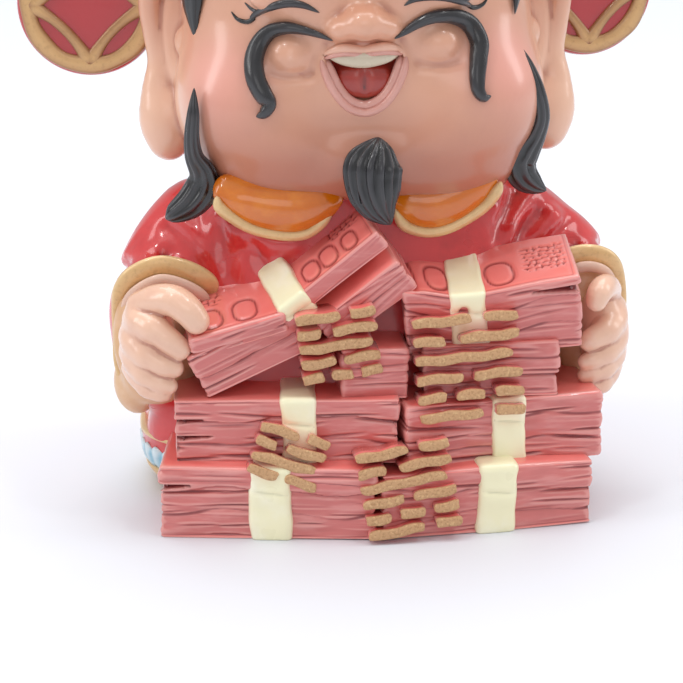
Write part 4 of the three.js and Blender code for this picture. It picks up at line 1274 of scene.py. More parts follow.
def robe_clay(settings):
    step = 0.7
    depth = settings.fold_depth / MM
    clay = Clay(*ROBE_BOX, step)
    clay.join(loft(ROBE_ROWS, middle=ROBE_MIDDLE), even=True)

    def skirt_folds(x, y, z):
        turn = np.arctan2(y, x - ROBE_MIDDLE)
        fall = smooth(50, 12, z) * smooth(9, 12, z)
        return 0.7 * depth * np.cos(11 * turn + 0.9 * np.sin(2 * turn) + z * 0.03) * fall

    clay.swell(skirt_folds, *ROBE_BOX)
    for arm in ARMS:
        side, cuff = arm["side"], np.array(arm["cuff"])
        sleeve = [[side * 16, 5, 43, 6.4], [*arm["shoulder"], 7.4], [*arm["elbow"], 8],
                  [cuff[0], cuff[1] + 1.5, cuff[2] + 2, 7.3]]
        clay.join(rope(sleeve, 18, flat=0.98), 3.5)
        wide, drop = arm["mouth"]
        bag = turned(x=-7, z=math.degrees(side * 0.2))
        clay.join(ball(cuff + [0, 3.2, -1.5], (wide * 0.98, 8.6, drop * 0.93), bag), 3)
        clay.join(ball(cuff + [0, 1.2, 4], (wide * 0.98, 4.4, wide * 1.05), bag), 2)

    for rows in SHOULDERS:
        clay.join(rope(rows, 14), 3)

    def fold(rows, out, thick):
        """Rope along the front of the cloth; a place beside the cloth is left out."""
        line = [[*clay.on(x, z, out), thick + r * depth] for x, z, r in rows]
        return rope([row for row in line if not math.isnan(row[1])], 14)

    # Soft folds run from the armpits over the chest and round the shoulders
    for rows in RIDGES:
        clay.join(fold(rows, -0.7, 0.5), 2.6)
    for rows in FURROWS:
        clay.cut(fold(rows, 0.3, 0), 2.0)
    for arm in ARMS:
        side, elbow = arm["side"], arm["elbow"]
        for k in range(3):
            bend = []
            for t in np.linspace(-0.5, 1.5, 7):
                across = elbow[0] + side * (7.5 * math.cos(t))
                depth_at = elbow[1] - 6.5 * math.sin(t) + 4 * (k - 1)
                height = elbow[2] + 1.5 + 7 * math.sin(t) - 2.5 * k + 3 * math.cos(3 * t)
                bend.append([across, depth_at, height, 0.3])
            clay.cut(rope(bend, 14), 2.6)
    below = (lambda x, y, z: z + 0 * (x + y), np.array([-56, -27, -1.5]), np.array([56, 33, 0]))
    clay.cut(below)
    return clay


def orange_paint(settings):
    # Orange acrylic brushed thick over resin, lacquered, with browner painted shade in the hollows along its
    # edges
    return painted(
        "polyresin_brushed_orange_lacquered", settings.collar,
        [
            ("#e88c1e", {"patches": 3, "start": 0.4, "full": 0.75, "most": 0.5}),
            # Painted shade: brown in the hollows
            ("#8a3c10", {"follows": "hollow", "start": 0.0, "full": 0.3, "most": 0.85}),
        ],
        0.22, {"patches": 4}, 0.05, [({"patches": 1.2}, 0.04)], coat=0.9, coat_roughness=0.05,
    )


def buff_paint():
    # Pale gold-buff brushed thin inside the cuffs and down the hanging sleeve, with painted shade in the
    # hollows
    return painted(
        "polyresin_brushed_buff_lining", "#dcae84",
        [
            ("#e6c2a2", {"patches": 2, "start": 0.45, "full": 0.8, "most": 0.6}),
            ("#d2a45c", {"patches": 4, "seed": 5, "start": 0.5, "full": 0.75, "most": 0.5}),
            # Painted shade in the hollows
            ("#a8765e", {"follows": "hollow", "start": 0.02, "full": 0.3, "most": 0.8}),
        ],
        0.4, {"patches": 2}, 0.08, [({"patches": 0.8}, 0.02)], coat=0.4, coat_roughness=0.15,
    )


def wave_paint(settings):
    # Light blue brushed over the carved wave band, with a painted highlight of white on its crests and
    # painted shade in its troughs
    return painted(
        "polyresin_brushed_wave_blue", settings.wave,
        [
            # Painted highlight: white on the crests
            ("#e4eef0", {"follows": "hollow", "start": -0.02, "full": -0.25, "most": 0.75}),
            # Painted shade: deep blue in the troughs
            ("#4d86a6", {"follows": "hollow", "start": 0.02, "full": 0.3, "most": 0.8}),
        ],
        0.3, {"patches": 2}, 0.06, coat=0.6,
    )


# Bands round the hem, each by rows of height and how far it stands out from the cloth
HEM_EDGE = [(0.25, -1), (0.25, 0.3), (0.9, 0.75), (2.6, 0.85), (4.2, 0.8), (4.9, 0.45), (4.9, -1)]
HEM_WAVES = [(4.8, -1), (4.8, 0.35), (5.8, 0.55), (7.2, 0.5), (8.0, 0.4), (8.3, 0.1), (8.3, -1)]
HEM_LINE = [(10.3, -1), (10.3, 0.1), (10.6, 0.45), (11.2, 0.5), (11.6, 0.1), (11.6, -1)]
# Depth of the gold piping before the figure's middle
PIPING_Y = -16.5

# Each cuff: its gold ribbon, the pale lining inside it and the hanging end of the sleeve's mouth
CUFFS = [
    {"ribbon": [(-27.4, -12, 38.4, 1.0), (-27.2, -13.4, 41, 1.6), (-30.6, -14.2, 43.5, 1.9),
                (-35.7, -14.3, 44.8, 1.95), (-40.1, -13.8, 43.2, 1.85), (-42.4, -12.6, 40.2, 1.55),
                (-43.1, -11, 36.2, 1.1), (-43.2, -10, 31, .9), (-43.3, -9.4, 27, .8), (-42.9, -8.8, 23, .7)],
     "lining": [(-27.9, -13, 36.6, .7), (-28.4, -14.6, 39.2, .9), (-31.4, -15.4, 41.5, 1.0),
                (-35.6, -15.6, 42.8, 1.0), (-39.3, -15, 41.2, 1.0), (-41.5, -13.4, 38.4, .9),
                (-42.2, -12, 34, .7)],
     "inner": ((-36.2, -11.6, 31.4), (7.9, 4.4, 12.6)), "hanging": ((-39.8, -6.4, 21.6), (4.2, 5, 6))},
    {"ribbon": [(33.2, -12.6, 40.4, 1.0), (35.2, -13.6, 43.2, 1.7), (38.4, -13.9, 44.1, 1.95),
                (41.8, -13.6, 43.6, 1.85), (44.2, -12.8, 41.8, 1.55), (45.9, -11, 38.2, 1.1),
                (46.8, -9.8, 33, .8), (46.6, -9, 27, .7), (45.4, -8, 22, .6)],
     "lining": [(35.2, -14.4, 40.4, .8), (37.4, -14.9, 42, 1.0), (40, -15, 42.2, 1.0),
                (42.6, -14.4, 41, .9), (44.6, -12.8, 38, .8)],
     "inner": ((40, -10.4, 31), (6.4, 4, 11.4)), "hanging": ((42, -5, 21.4), (3.6, 4.6, 5))},
]


def add_cuffs(piece, gold, buff, pale):
    for cuff in CUFFS:
        centre = np.array(cuff["inner"][0])
        mouth = Clay(centre - [12, 8, 20], centre + [12, 14, 16], 0.5)
        mouth.join(ball(*cuff["inner"])).join(ball(*cuff["hanging"]), 2.5)
        piece.add(*mouth.skin(), buff)
        piece.add(*strand(cuff["ribbon"], 26, 110, 0.5), gold)
        piece.add(*strand(cuff["lining"], 14, 80, 0.5), pale)


def hem_band(section, scallop=0.0, waves=44, count=352):
    """Closed band round the robe's foot; section gives (height, how far it stands out)."""
    turn = np.linspace(0, 2 * math.pi, count, endpoint=False)
    rows = []
    for k, (z, out) in enumerate(section):
        crest = np.abs(np.sin(waves / 2 * turn)) ** 1.3
        lift = scallop * crest if out > 0 and k > len(section) // 2 else 0 * turn
        height = z + lift
        x, y = outline_at(ROBE_ROWS, turn, np.clip(height, 0.4, 60))
        grow = 1 + (out + (0.22 * crest - 0.1 if scallop and out > 0 else 0)) / np.hypot(x, y)
        rows.append(np.stack([x * grow + ROBE_MIDDLE, y * grow, height], 1))
    points = np.stack(rows, 1).reshape(-1, 3)
    m = len(section)
    i, j = np.meshgrid(np.arange(count), np.arange(m), indexing="ij")
    i2, j2 = (i + 1) % count, (j + 1) % m
    faces = np.stack([i * m + j, i * m + j2, i2 * m + j2, i2 * m + j], -1).reshape(-1, 4)
    return points, [tuple(f)[::-1] for f in faces]


def build_robe(settings):
    clay = robe_clay(settings)
    red = red_paint("polyresin_sprayed_robe_red", settings.robe)
    gold, buff, orange = gold_paint(settings.gold), buff_paint(), orange_paint(settings)
    pale = painted(
        # Pale pink thinly brushed over the turned edge inside each cuff, with painted shade in its hollows
        "polyresin_brushed_pale_edge", "#e2bda8",
        [("#b98470", {"follows": "hollow", "start": 0.0, "full": 0.3, "most": 0.7})],
        0.4, {"patches": 2}, 0.06, coat=0.5,
    )
    piece = Piece("robe_and_collar")
    points, quads = clay.skin()
    piece.add(points, quads, red)

    step = 0.45
    lobes = Clay([-30, -25, 46], [28, -8, 64], step)
    for rows in COLLAR_LOBES:
        lobes.join(rope(rows, 24, flat=0.62), 2.4)
    points, quads = lobes.skin()
    piece.add(points, quads, orange)
    radius = settings.piping_radius / MM
    for rows in PIPING:
        line = [[x, PIPING_Y, z, radius] for x, z in rows]
        line[0][3] = line[-1][3] = radius * 0.5
        piece.add(*strand(line, 14, 80, 0.95), gold)
    add_cuffs(piece, gold, buff, pale)
    piece.add(*hem_band(HEM_EDGE), gold)
    piece.add(*hem_band(HEM_WAVES, scallop=0.9), wave_paint(settings))
    piece.add(*hem_band(HEM_LINE), gold)
    piece.finish()


# Hands

LEFT_HAND = {
    "palm": ((-38.2, -18.6, 32.2), (4.7, 5.6, 8.6)),
    "fingers": [
        [(-40.3, -18.5, 37, 2.3), (-39.7, -21.2, 37.2, 2.35), (-37.6, -23.2, 36.5, 2.35),
         (-35.2, -24.2, 34.7, 2.25), (-33.2, -24.2, 33, 2.0)],
        [(-41.3, -18, 33.6, 1.9), (-41, -20.6, 33.1, 1.9), (-38.9, -22.9, 31.8, 1.95),
         (-36.3, -24, 30.3, 1.9), (-34.2, -24, 29.5, 1.65)],
        [(-41.7, -17.6, 30.5, 1.6), (-41, -20, 29.5, 1.65), (-39.1, -22.2, 28, 1.7),
         (-36.8, -23.4, 26.8, 1.65), (-35, -23.6, 26.2, 1.4)],
        [(-41.6, -17.2, 27.5, 1.4), (-40.6, -19.4, 26.4, 1.45), (-38.8, -21.4, 25.2, 1.5),
         (-37, -22.6, 24.5, 1.4), (-35.8, -22.8, 24.3, 1.15)],
    ],
    "thumb": [(-39.2, -18.5, 38.9, 2.8), (-36.8, -21.2, 40.8, 2.75), (-34.1, -23.4, 41.3, 2.75),
              (-31.9, -24.6, 40, 2.65), (-30.4, -24.9, 38.1, 2.35)],
}
RIGHT_HAND = {
    "palm": ((42, -15.8, 30.4), (3.9, 5.4, 9)),
    "fingers": [
        [(44.2, -15.5, 34.9, 2.0), (43.7, -18.6, 33.5, 2.1), (41.6, -20.8, 32.3, 2.15),
         (39.2, -21.8, 31.4, 2.05), (38.1, -21.8, 30.7, 1.65)],
        [(44.9, -15.4, 31, 1.8), (44.2, -18.2, 29.5, 1.8), (41.8, -20.4, 28.2, 1.85),
         (39.4, -21.4, 27.4, 1.75), (37.9, -21.4, 26.9, 1.45)],
        [(45, -15.2, 27.4, 1.6), (44.1, -17.8, 26.2, 1.6), (41.7, -20, 25.1, 1.65),
         (39.4, -20.9, 24.6, 1.6), (37.9, -20.9, 24.2, 1.35)],
        [(44.6, -15, 23.8, 1.4), (43.3, -17.4, 22.7, 1.45), (41.4, -19.4, 22, 1.5),
         (39.5, -20.3, 21.8, 1.45), (38.3, -20.3, 21.8, 1.2)],
    ],
    "thumb": [(43.2, -15.2, 38, 2.1), (42, -18.4, 39.5, 2.2), (40.7, -21, 40.1, 2.25),
              (39.6, -22.6, 39.6, 2.15), (39.1, -23, 38.4, 1.85)],
}


def build_hands(head):
    skin = skin_paint(head, "polyresin_sprayed_hands_lacquered", head.hands)
    piece = Piece("hands")
    step = 0.3
    for hand in (LEFT_HAND, RIGHT_HAND):
        centre = np.array(hand["palm"][0])
        clay = Clay(centre - [9, 13, 14], centre + [11, 9, 13], step)
        clay.join(ball(*hand["palm"]))
        clay.join(ball(centre + [0, 4, 1], (4.6, 6, 6)), 2)
        for rows in hand["fingers"]:
            # Knuckles swell a little
            clay.join(rope(rows, 14), 1.0)
            clay.join(ball(rows[2][:3], rows[2][3] * 1.05), 0.9)
        clay.join(rope(hand["thumb"], 14), 0.6)
        points, quads = clay.skin()
        piece.add(points, quads, skin)
    piece.finish(0.7)


# Banknote bundles, their paper bands and the raised strokes

# Each bundle starts at its front top corner on the left. Its size is length, depth and height, its
# turn, tilt and lean are degrees about Z, Y and X, and packets of notes show on its sides. A band
# has a start, a width and perhaps a height, a bend is rows of place and rise along the length, an
# exposed top has a pitch and a pressed pattern, and a gap runs from one end to the other with its
# two heights and its width
BUNDLES = [
    {"corner": (-37.4, -27.6, 12.8), "size": (37.4, 34, 12.8), "turn": -9.7, "packets": 3,
     "band": (15.6, 7.2),
     "gaps": [(5.5, -1, -3.2, -3.6, 0.7)]},
    {"corner": (0.2, -34, 11.8), "size": (38, 34, 11.8), "turn": 5.5, "packets": 3, "band": (17.2, 6.7)},
    {"corner": (-34.9, -26, 24.3), "size": (39.2, 30, 12.1), "turn": -6, "packets": 3, "band": (18.5, 6.4),
     "gaps": [(5.5, -1, -3.8, -4.1, 0.5), (7, -1, -6.8, -7.2, 0.5)]},
    {"corner": (4.9, -30.6, 23), "size": (35.4, 30, 11.8), "turn": 7, "packets": 3, "band": (15.3, 6.5)},
    {"corner": (-5.9, -27.2, 32.3), "size": (11.8, 24, 9), "packets": 2},
    {"corner": (8, -26.4, 32.4), "size": (24, 22, 10), "turn": -2, "tilt": 1, "packets": 3},
    {"corner": (4.6, -26, 41.6), "size": (30.6, 18, 13.2), "turn": -5, "tilt": 5, "lean": 10, "packets": 3,
     "band": (8, 6.6),
     "bend": [(0, 0.7), (4, 0.2), (9, -1.2), (13, -1.3), (17, -0.9), (24, 0), (30.6, 0.5)],
     "top": (0.4, "right"),
     "gaps": [(22, 31.5, -1.6, -2.4, 0.9)]},
    {"corner": (-32.2, -26, 31.7), "size": (20.6, 22, 8.4), "tilt": 24, "lean": 5, "packets": 2},
    {"corner": (-31.9, -26.5, 34.9), "size": (17, 22, 3.6), "turn": -1, "tilt": 15.5, "lean": 11,
     "packets": 1, "top": (0.4, "left"),
     "gaps": [(9, -1, -2.9, -3.1, 0.6)]},
    {"corner": (-10.5, -27, 37.2), "size": (18, 15, 6.6), "turn": 1, "tilt": 37, "lean": 9, "packets": 2},
    {"corner": (-17.1, -26, 39.1), "size": (22.4, 15.5, 3.6), "turn": 1, "tilt": 38, "lean": 8,
     "packets": 1, "band": (0.2, 6.2, 7.4),
     "band_lean": 7, "top": (0.4, "upper")},
]
# Places of raised strokes, each with its middle, half-sizes, roll and lean in degrees and rows
STROKE_PLACES = [
    {"at": (-6.4, -27.4, 33.8), "half": (6.9, 5.3), "roll": 7, "lean": 0, "rows": 5},
    {"at": (15.8, -28.7, 29.4), "half": (9.2, 8.2), "roll": 4, "lean": 9, "rows": 6},
    {"at": (-15.4, -30.2, 14.9), "half": (6.2, 3.8), "roll": -19, "lean": 12, "rows": 4},
    {"at": (4.9, -33.4, 9.2), "half": (8.2, 6.9), "roll": 9, "lean": 8, "rows": 6},
]
# Lengths of the strokes in each row, as shares of the place's width
STROKE_ROWS = [[0.56, 0.32], [0.3, 0.56], [0.92], [0.44, 0.46], [0.27, 0.27, 0.27], [0.6, 0.28]]
STROKE_HEIGHT = 1.8
STROKE_SINK = 4.5
# Distances between the mesh lines on a bundle: along a plain one, along one with an exposed top,
# in depth and in height; and the rounding of its edges
PLAIN_PITCH = 0.53
TOP_PITCH = 0.37
DEPTH_PITCH = 1.1
HEIGHT_PITCH = 0.2
BUNDLE_ROUNDING = 0.7
# Nothing of the pile comes lower than this over the floor
FLOOR_GAP = 0.05


def note_paint(settings):
    # Red brushed over carved resin, with painted shade dark in the cut lines and hollows and pink dry-brushed
    # over the ridges, partly a painted highlight, then lacquered: satin on the combed sides, and wetter on
    # the smooth tops, whose lighter red is painted light from above
    combed = {"follows": "side", "start": 0.3, "full": 0.9}
    return painted(
        "polyresin_dry_brushed_note_red", settings.note_top_lit,
        [
            ("#ea6c64", {"patches": 5, "start": 0.4, "full": 0.75, "most": 0.5}),
            # The combed sides take the darker red; the tops keep the lighter red, painted light from above
            (settings.note, combed),
            ("#b9615c", {"patches": 4, "seed": 9, "start": 0.45, "full": 0.75, "most": 0.6,
                         "within": combed}),
            # Real pink dry-brushing on the ridges, also standing in as their painted highlight
            (settings.note_ridge_drybrush_and_highlight, {"follows": "hollow", "start": -0.03, "full": -0.2, "most": 0.8}),
            # Dry-brushed streaks along the notes, about 1 mm by 4 mm
            ("#dd948e", {"patches": 1.1, "seed": 4, "stretch": (0.3, 0.3, 1.6), "start": 0.45, "full": 0.75,
                         "most": 0.6, "within": combed}),
            # Painted shade in the cuts, seams, gaps and pressed lines
            (settings.note_groove_shade, {"follows": "wash", "start": 0.15, "full": 0.85, "most": 0.9}),
            # Painted shade in the hollows
            ("#8b3335", {"follows": "hollow", "start": 0.06, "full": 0.35, "most": 0.6}),
        ],
        0.36, {"follows": "side"}, 0.1, [({"patches": 0.8, "seed": 5, "stretch": (0.4, 0.4, 1.5)}, 0.03)],
        coat=0.65, coat_roughness=0.12,
    )


def cream_paint(settings):
    # Cream acrylic laid thick over the bands and lacquered, with painted shade of greener grey in the hollows
    # where it turns under and dark in the pits
    return painted(
        "polyresin_brushed_cream_band", settings.band,
        [
            ("#fffdf0", {"patches": 4, "start": 0.45, "full": 0.8, "most": 0.6}),
            # Painted shade: greener grey in the hollows
            ("#c4bf96", {"follows": "hollow", "start": 0.0, "full": 0.3, "most": 0.8}),
            # Painted shade: dark in the casting's pits
            ("#54463a", {"follows": "wash", "start": 0.3, "full": 0.8, "most": 0.9}),
        ],
        0.3, {"patches": 3}, 0.06, [({"patches": 2.2}, 0.06)], coat=0.55, coat_roughness=0.12,
    )


def stroke_paint(settings):
    # Matt gold sponged on the flat faces: a grain of bronze flake that doesn't shine
    return painted(
        "polyresin_sponged_matt_gold", settings.stroke,
        [
            # Flake of about 0.2 mm, drawn coarser than the real 0.1 mm
            ("#a87c50", {"patches": 0.2, "seed": 2, "start": 0.5, "full": 0.62, "most": 0.6}),
            ("#dfbc8c", {"patches": 0.26, "seed": 8, "start": 0.55, "full": 0.68, "most": 0.6}),
            # Painted shade: reddish brown in the hollows
            ("#b9705a", {"follows": "hollow", "start": 0.05, "full": 0.35, "most": 0.6}),
        ],
        0.62, {"patches": 0.4, "seed": 6}, 0.1, [({"patches": 0.22, "seed": 2}, 0.04)], metallic=0.1,
    )


def bundle_place(bundle):
    spin = turned(bundle.get("lean", 0), -bundle.get("tilt", 0), bundle.get("turn", 0))
    return spin, np.array(bundle["corner"])


def sag(points, number):
    """Slow uneven swelling that a bundle and its band share."""
    return 0.26 * wobble(points * [1, 0.6, 1], 22, 40 + number)


def bent(bundle, points):
    """Bundle's corners moved up or down by its bend, which fades towards its foot."""
    if "bend" not in bundle:
        return points
    along, rise = np.array(bundle["bend"]).T
    fade = smooth(-bundle["size"][2], -bundle["size"][2] * 0.3, points[:, 2])
    return points + np.outer(np.interp(points[:, 0], along, rise) * fade, [0, 0, 1])


def carve(bundle, number, points, way, settings):
    """Packets that bulge and step, and the long tapering cuts between single notes."""
    length, depth, height = bundle["size"]
    x, y, z = points.T
    # Distance along the foot of the bundle, from the left side over the front to the right
    along = np.where(way[:, 0] < -0.7, -y, np.where(way[:, 0] > 0.7, length + y, x))
    flank = smooth(0.8, 0.25, np.abs(way[:, 2]))
    rng = np.random.default_rng(700 + number)
    count = bundle["packets"]
    edges = np.linspace(0, 1, count + 1)
    edges[1:-1] += rng.uniform(-0.12, 0.12, count - 1) / count
    share = -z / height + 0.05 * np.sin(along / 5.5 + rng.uniform(0, 6))
    share = share + 0.02 * np.sin(along / 2.1 + rng.uniform(0, 6))
    packet = np.clip(np.searchsorted(edges, share) - 1, 0, count - 1)
    within = np.clip((share - edges[packet]) / (edges[packet + 1] - edges[packet]), 0, 1)
    push = rng.uniform(-0.45, 0.1, count)
    push[0] = 0.05
    lift = push[packet] - 0.45 * (1 - np.sin(math.pi * within) ** 0.3)
    either = np.minimum(within, 1 - within)
    to_seam = np.where(packet == 0, 1 - within, np.where(packet == count - 1, within, either))
    seam = smooth(0.13, 0.0, to_seam)
    # Painted shade where two packets meet, patchy along the seam
    wash = 0.8 * seam * smooth(-0.6, 0.5, wobble(points, 9, 300 + number))

    # Cuts run nearly level in loose rows, each from one to two centimetres long
    deep, pitch = settings.groove_depth / MM, settings.groove_pitch / MM
    cut = np.zeros(len(points))
    for row in np.arange(0.9, height - 0.6, pitch):
        start = -depth + rng.uniform(-6, 0)
        while start < length + depth:
            half = rng.uniform(2.6, 9.5)
            middle = start + half
            fine = rng.uniform(0.14, 0.34)
            share_along = np.abs(along - middle) / half
            taper = np.where(share_along < 1, 1 - share_along ** 2.4, 0)
            line = -row + rng.uniform(-0.5, 0.5) + rng.normal(0, 0.05) * (along - middle)
            line = line + rng.uniform(0.05, 0.2) * np.sin(along / 5 + rng.uniform(0, 6))
            trough = np.exp(-np.abs((z - line) / (fine * (0.35 + 0.65 * taper))) ** 1.6)
            cut = np.maximum(cut, rng.uniform(0.3, 1) ** 1.5 * taper ** 0.7 * trough)
            start += 2 * half * rng.uniform(0.7, 1.5)
    rim = smooth(-0.25, -0.8, z)
    cut = cut * rim * flank
    # A gap between two packets opens towards an end
    gap = np.zeros(len(points))
    for start, end, low_start, low_end, wide in bundle.get("gaps", ()):
        share_along = np.clip((along - start) / (end - start), 0, 1)
        line = low_start + (low_end - low_start) * share_along
        opening = smooth(1, 0.5, np.abs(z - line) / (0.12 + wide * share_along))
        gap = np.maximum(gap, opening * smooth(0, 0.1, share_along))
    lift = lift - 1.5 * gap
    soft = 0.13 * flank * wobble(points * [1, 1, 5], 7, 500 + number)
    # The second result is how much painted shade lies in the cuts, seams and gaps
    return lift * flank + soft - deep * cut, np.maximum(np.maximum(cut, wash * flank), gap * flank), flank


def ring_at(x, y, centre, size, turn=0.0):
    """Distance from a rounded loop lying flat at a centre."""
    c, s = math.cos(math.radians(turn)), math.sin(math.radians(turn))
    u, v = x - centre[0], y - centre[1]
    u, v = (c * u + s * v) / size[0], (c * v - s * u) / size[1]
    reach = (np.abs(u) ** LOOP_ROUNDNESS + np.abs(v) ** LOOP_ROUNDNESS) ** (1 / LOOP_ROUNDNESS)
    return np.abs(reach - 1) * min(size)


# What is pressed into each exposed top: loops by centre, half-sizes and turn, and patches of fine
# dashes by their corners, in millimetres from the bundle's front left corner
TOP_PRESSES = {
    "right": {"loops": [((6.3, 6.6), (1.9, 4.3), 4), ((17.3, 6.6), (2.4, 4.2), 4),
                        ((1.9, 7.2), (0.5, 4.0), 6)],
              "lattice": [(21.4, 4.6, 29.0, 14.4)]},
    "left": {"loops": [((4.6, 5.2), (1.9, 3.2), 6), ((10.6, 5.2), (2.1, 3.4), 0)],
             "lattice": [(1.4, 9.6, 7.2, 13.6)]},
    "upper": {"loops": [((9.0, 5.2), (1.7, 3.3), 0), ((12.9, 5.4), (1.7, 3.4), 0),
                        ((17.4, 5.0), (1.5, 3.0), 0)],
              "lattice": [(14.2, 9.0, 21.0, 13.6)]},
}


def top_relief(bundle, points, way):
    """Loops and a fine lattice pressed into the exposed top of a bundle."""
    press = np.zeros(len(points))
    if "top" not in bundle:
        return press
    x, y = points[:, 0], points[:, 1]
    shapes = TOP_PRESSES[bundle["top"][1]]
    for centre, size, turn in shapes["loops"]:
        press = np.maximum(press, np.exp(-(ring_at(x, y, centre, size, turn) / 0.3) ** 2))
    for x0, y0, x1, y1 in shapes["lattice"]:
        inside = smooth(0, 0.3, x - x0) * smooth(0, 0.3, x1 - x)
        inside = inside * smooth(0, 0.3, y - y0) * smooth(0, 0.3, y1 - y)
        rows = np.abs(np.sin((y - y0) * math.pi / 1.5 + 0.4 * np.sin(x * 1.9)))
        dashes = np.abs(np.sin(x * math.pi / 1.25 + 0.8 * np.sin(y * 1.3)))
        press = np.maximum(press, inside * smooth(0.5, 0.1, np.minimum(rows, dashes)))
    # A frame line runs just inside the edges
    edge = np.minimum(np.minimum(x, bundle["size"][0] - x), y)
    press = np.maximum(press, 0.6 * np.exp(-((edge - 1.05) / 0.22) ** 2))
    return press * smooth(0.8, 0.98, way[:, 2])


def build_bundles(settings):
    paint = note_paint(settings)
    piece = Piece("banknote_bundles")
    coarse = 1.0
    for number, bundle in enumerate(BUNDLES):
        fine = bundle.get("top", (DEPTH_PITCH, 0))[0]
        across = PLAIN_PITCH if "top" not in bundle else TOP_PITCH
        pitch = (across * coarse, fine * coarse, HEIGHT_PITCH * coarse)
        points, way, faces = slab(bundle["size"], BUNDLE_ROUNDING, pitch)
        lift, wash, flank = carve(bundle, number, points, way, settings)
        press = top_relief(bundle, points, way)
        lift = lift + sag(points, number) - 0.3 * press
        points = bent(bundle, points + way * lift[:, None])
        spin, corner = bundle_place(bundle)
        points = points @ spin.T + corner
        points[:, 2] = np.maximum(points[:, 2], FLOOR_GAP)
        # Painted shade lies in the cuts, seams and gaps and, a little less, in the lines pressed into the
        # tops
        piece.add(points, faces, paint, np.maximum(wash, 0.75 * press), side=flank)
    piece.finish(0.6, 2)


# Air bubbles in the casting, at the feet of two bands: place and radius
PITS = [(15.3, 38.4, 0.8), (-12.8, 36.6, 0.5)]


def build_bands(settings):
    paint = cream_paint(settings)
    piece = Piece("paper_bands")
    proud = settings.band_thickness / MM
    coarse = 0.8
    for number, bundle in enumerate(BUNDLES):
        if "band" not in bundle:
            continue
        _, depth, height = bundle["size"]
        start, width, *tall = bundle["band"]
        height = tall[0] if tall else height
        size = (width, depth + 2 * proud, height + 2 * proud)
        points, way, faces = slab(size, 1.0, (0.5 * coarse, 0.6 * coarse, 0.4 * coarse))
        points = points + [start, -proud, proud]
        # The band narrows and swells slightly on its way down the front and follows the bundle
        middle = start + width / 2
        waist = 1 + 0.03 * np.sin(points[:, 2] * 0.55 + number) + 0.02 * np.sin(points[:, 1] * 0.8)
        sway = 0.2 * np.sin(points[:, 2] * 0.3 + 2 * number)
        points[:, 0] = middle + (points[:, 0] - middle) * waist + sway
        ripple = 0.07 * np.sin(points[:, 2] * 1.1 + number) * (1 - way[:, 2].clip(0, 1))
        lift = sag(points, number) * 0.9 - 0.1 + ripple
        facing = smooth(-0.5, -0.95, way[:, 1])
        crease = np.exp(-((points[:, 2] + 1.9 + 0.12 * points[:, 0]) / 0.4) ** 2) * facing
        points = bent(bundle, points + way * (lift - 0.2 * crease)[:, None])
        spin, corner = bundle_place(bundle)
        points = points @ turned(x=bundle.get("band_lean", 0)).T @ spin.T + corner
        points[:, 2] = np.maximum(points[:, 2], FLOOR_GAP)
        pit = np.zeros(len(points))
        for x, z, radius in PITS:
            near = np.exp(-(np.hypot(points[:, 0] - x, points[:, 2] - z) / radius) ** 4)
            pit = np.maximum(pit, near * smooth(-20, -24, points[:, 1]))
        points[:, 1] += 1.3 * pit
        # Painted shade lies in the pits
        piece.add(points, faces, paint, pit)
    piece.finish(0.8, 2)


def stroke_bar(length, height, rise, seed):
    """Bar with brush-like swelling ends: side wall, rounded shoulder and slightly domed face."""
    rng = np.random.default_rng(seed)
    count = 64
    turn = np.linspace(0, 2 * math.pi, count, endpoint=False)
    c, s = np.cos(turn), np.sin(turn)
    x = length / 2 * np.sign(c) * np.abs(c) ** 0.42
    swell = 1 + 0.16 * (2 * np.abs(x) / length) ** 3 * rng.uniform(0.3, 1)
    swell = swell + 0.05 * np.sin(x * 1.3 + rng.uniform(0, 6))
    z = height / 2 * np.sign(s) * np.abs(s) ** 0.5 * swell
    z = z + 0.16 * np.sin(x * 0.9 + rng.uniform(0, 6))
    x = x + 0.10 * np.sin(z * 3 + rng.uniform(0, 6))
    section = [(1.0, STROKE_SINK), (1.0, 0.0), (0.99, -rise + 0.5), (0.97, -rise + 0.26),
               (0.92, -rise + 0.09), (0.82, -rise), (0.55, -rise - 0.05), (0.2, -rise - 0.06)]
    inner = height / 2
    rows = []
    for share, y in section:
        gap = (1 - share) * inner
        shrink = (length / 2 - gap) / (length / 2)
        rows.append(np.stack([x * shrink, np.full(count, y), z * share], 1))
    points = np.concatenate(rows)
    faces, paints = [], []
    for r in range(len(section) - 1):
        for j in range(count):
            k = (j + 1) % count
            faces.append((r * count + j, r * count + k, (r + 1) * count + k, (r + 1) * count + j))
            paints.append(1 if r < 2 else 0)
    last = (len(section) - 1) * count
    faces += [tuple(range(count))[::-1], tuple(range(last, last + count))]
    paints += [1, 0]
    return points, outward(points, faces), paints


def build_strokes(settings):
    gold = stroke_paint(settings)
    red = note_paint(settings)
    piece = Piece("raised_strokes")
    rise = settings.stroke_rise / MM
    for n, place in enumerate(STROKE_PLACES):
        spin = turned(x=-place["lean"]) @ turned(y=-place["roll"])
        half = place["half"]
        for row in range(place["rows"]):
            shares = STROKE_ROWS[row % len(STROKE_ROWS)]
            gap = 2 * half[0] * (1 - sum(shares)) / max(1, len(shares) - 1)
            height = half[1] - 2 * half[1] * row / (place["rows"] - 1)
            left = -half[0]
            for k, share in enumerate(shares):
                length = 2 * half[0] * share
                points, faces, paints = stroke_bar(length, STROKE_HEIGHT, rise, 90 + 20 * n + 4 * row + k)
                points = points + [left + length / 2, 0, height]
                left += length + gap
                piece.add(points @ spin.T + np.array(place["at"]), faces, [gold, red], paints=paints)
    piece.finish(0.6, 1)


# Floor, lights and camera

# The lights face a spot given in metres; the camera's place is in millimetres like the forms
LIT_SPOT = (0, 0, 0.06)
SENSOR_WIDTH = 36
FIELD_OF_VIEW = math.radians(14.585)
CAMERA_PLACE = [-58.5, -455.9, 174.5]


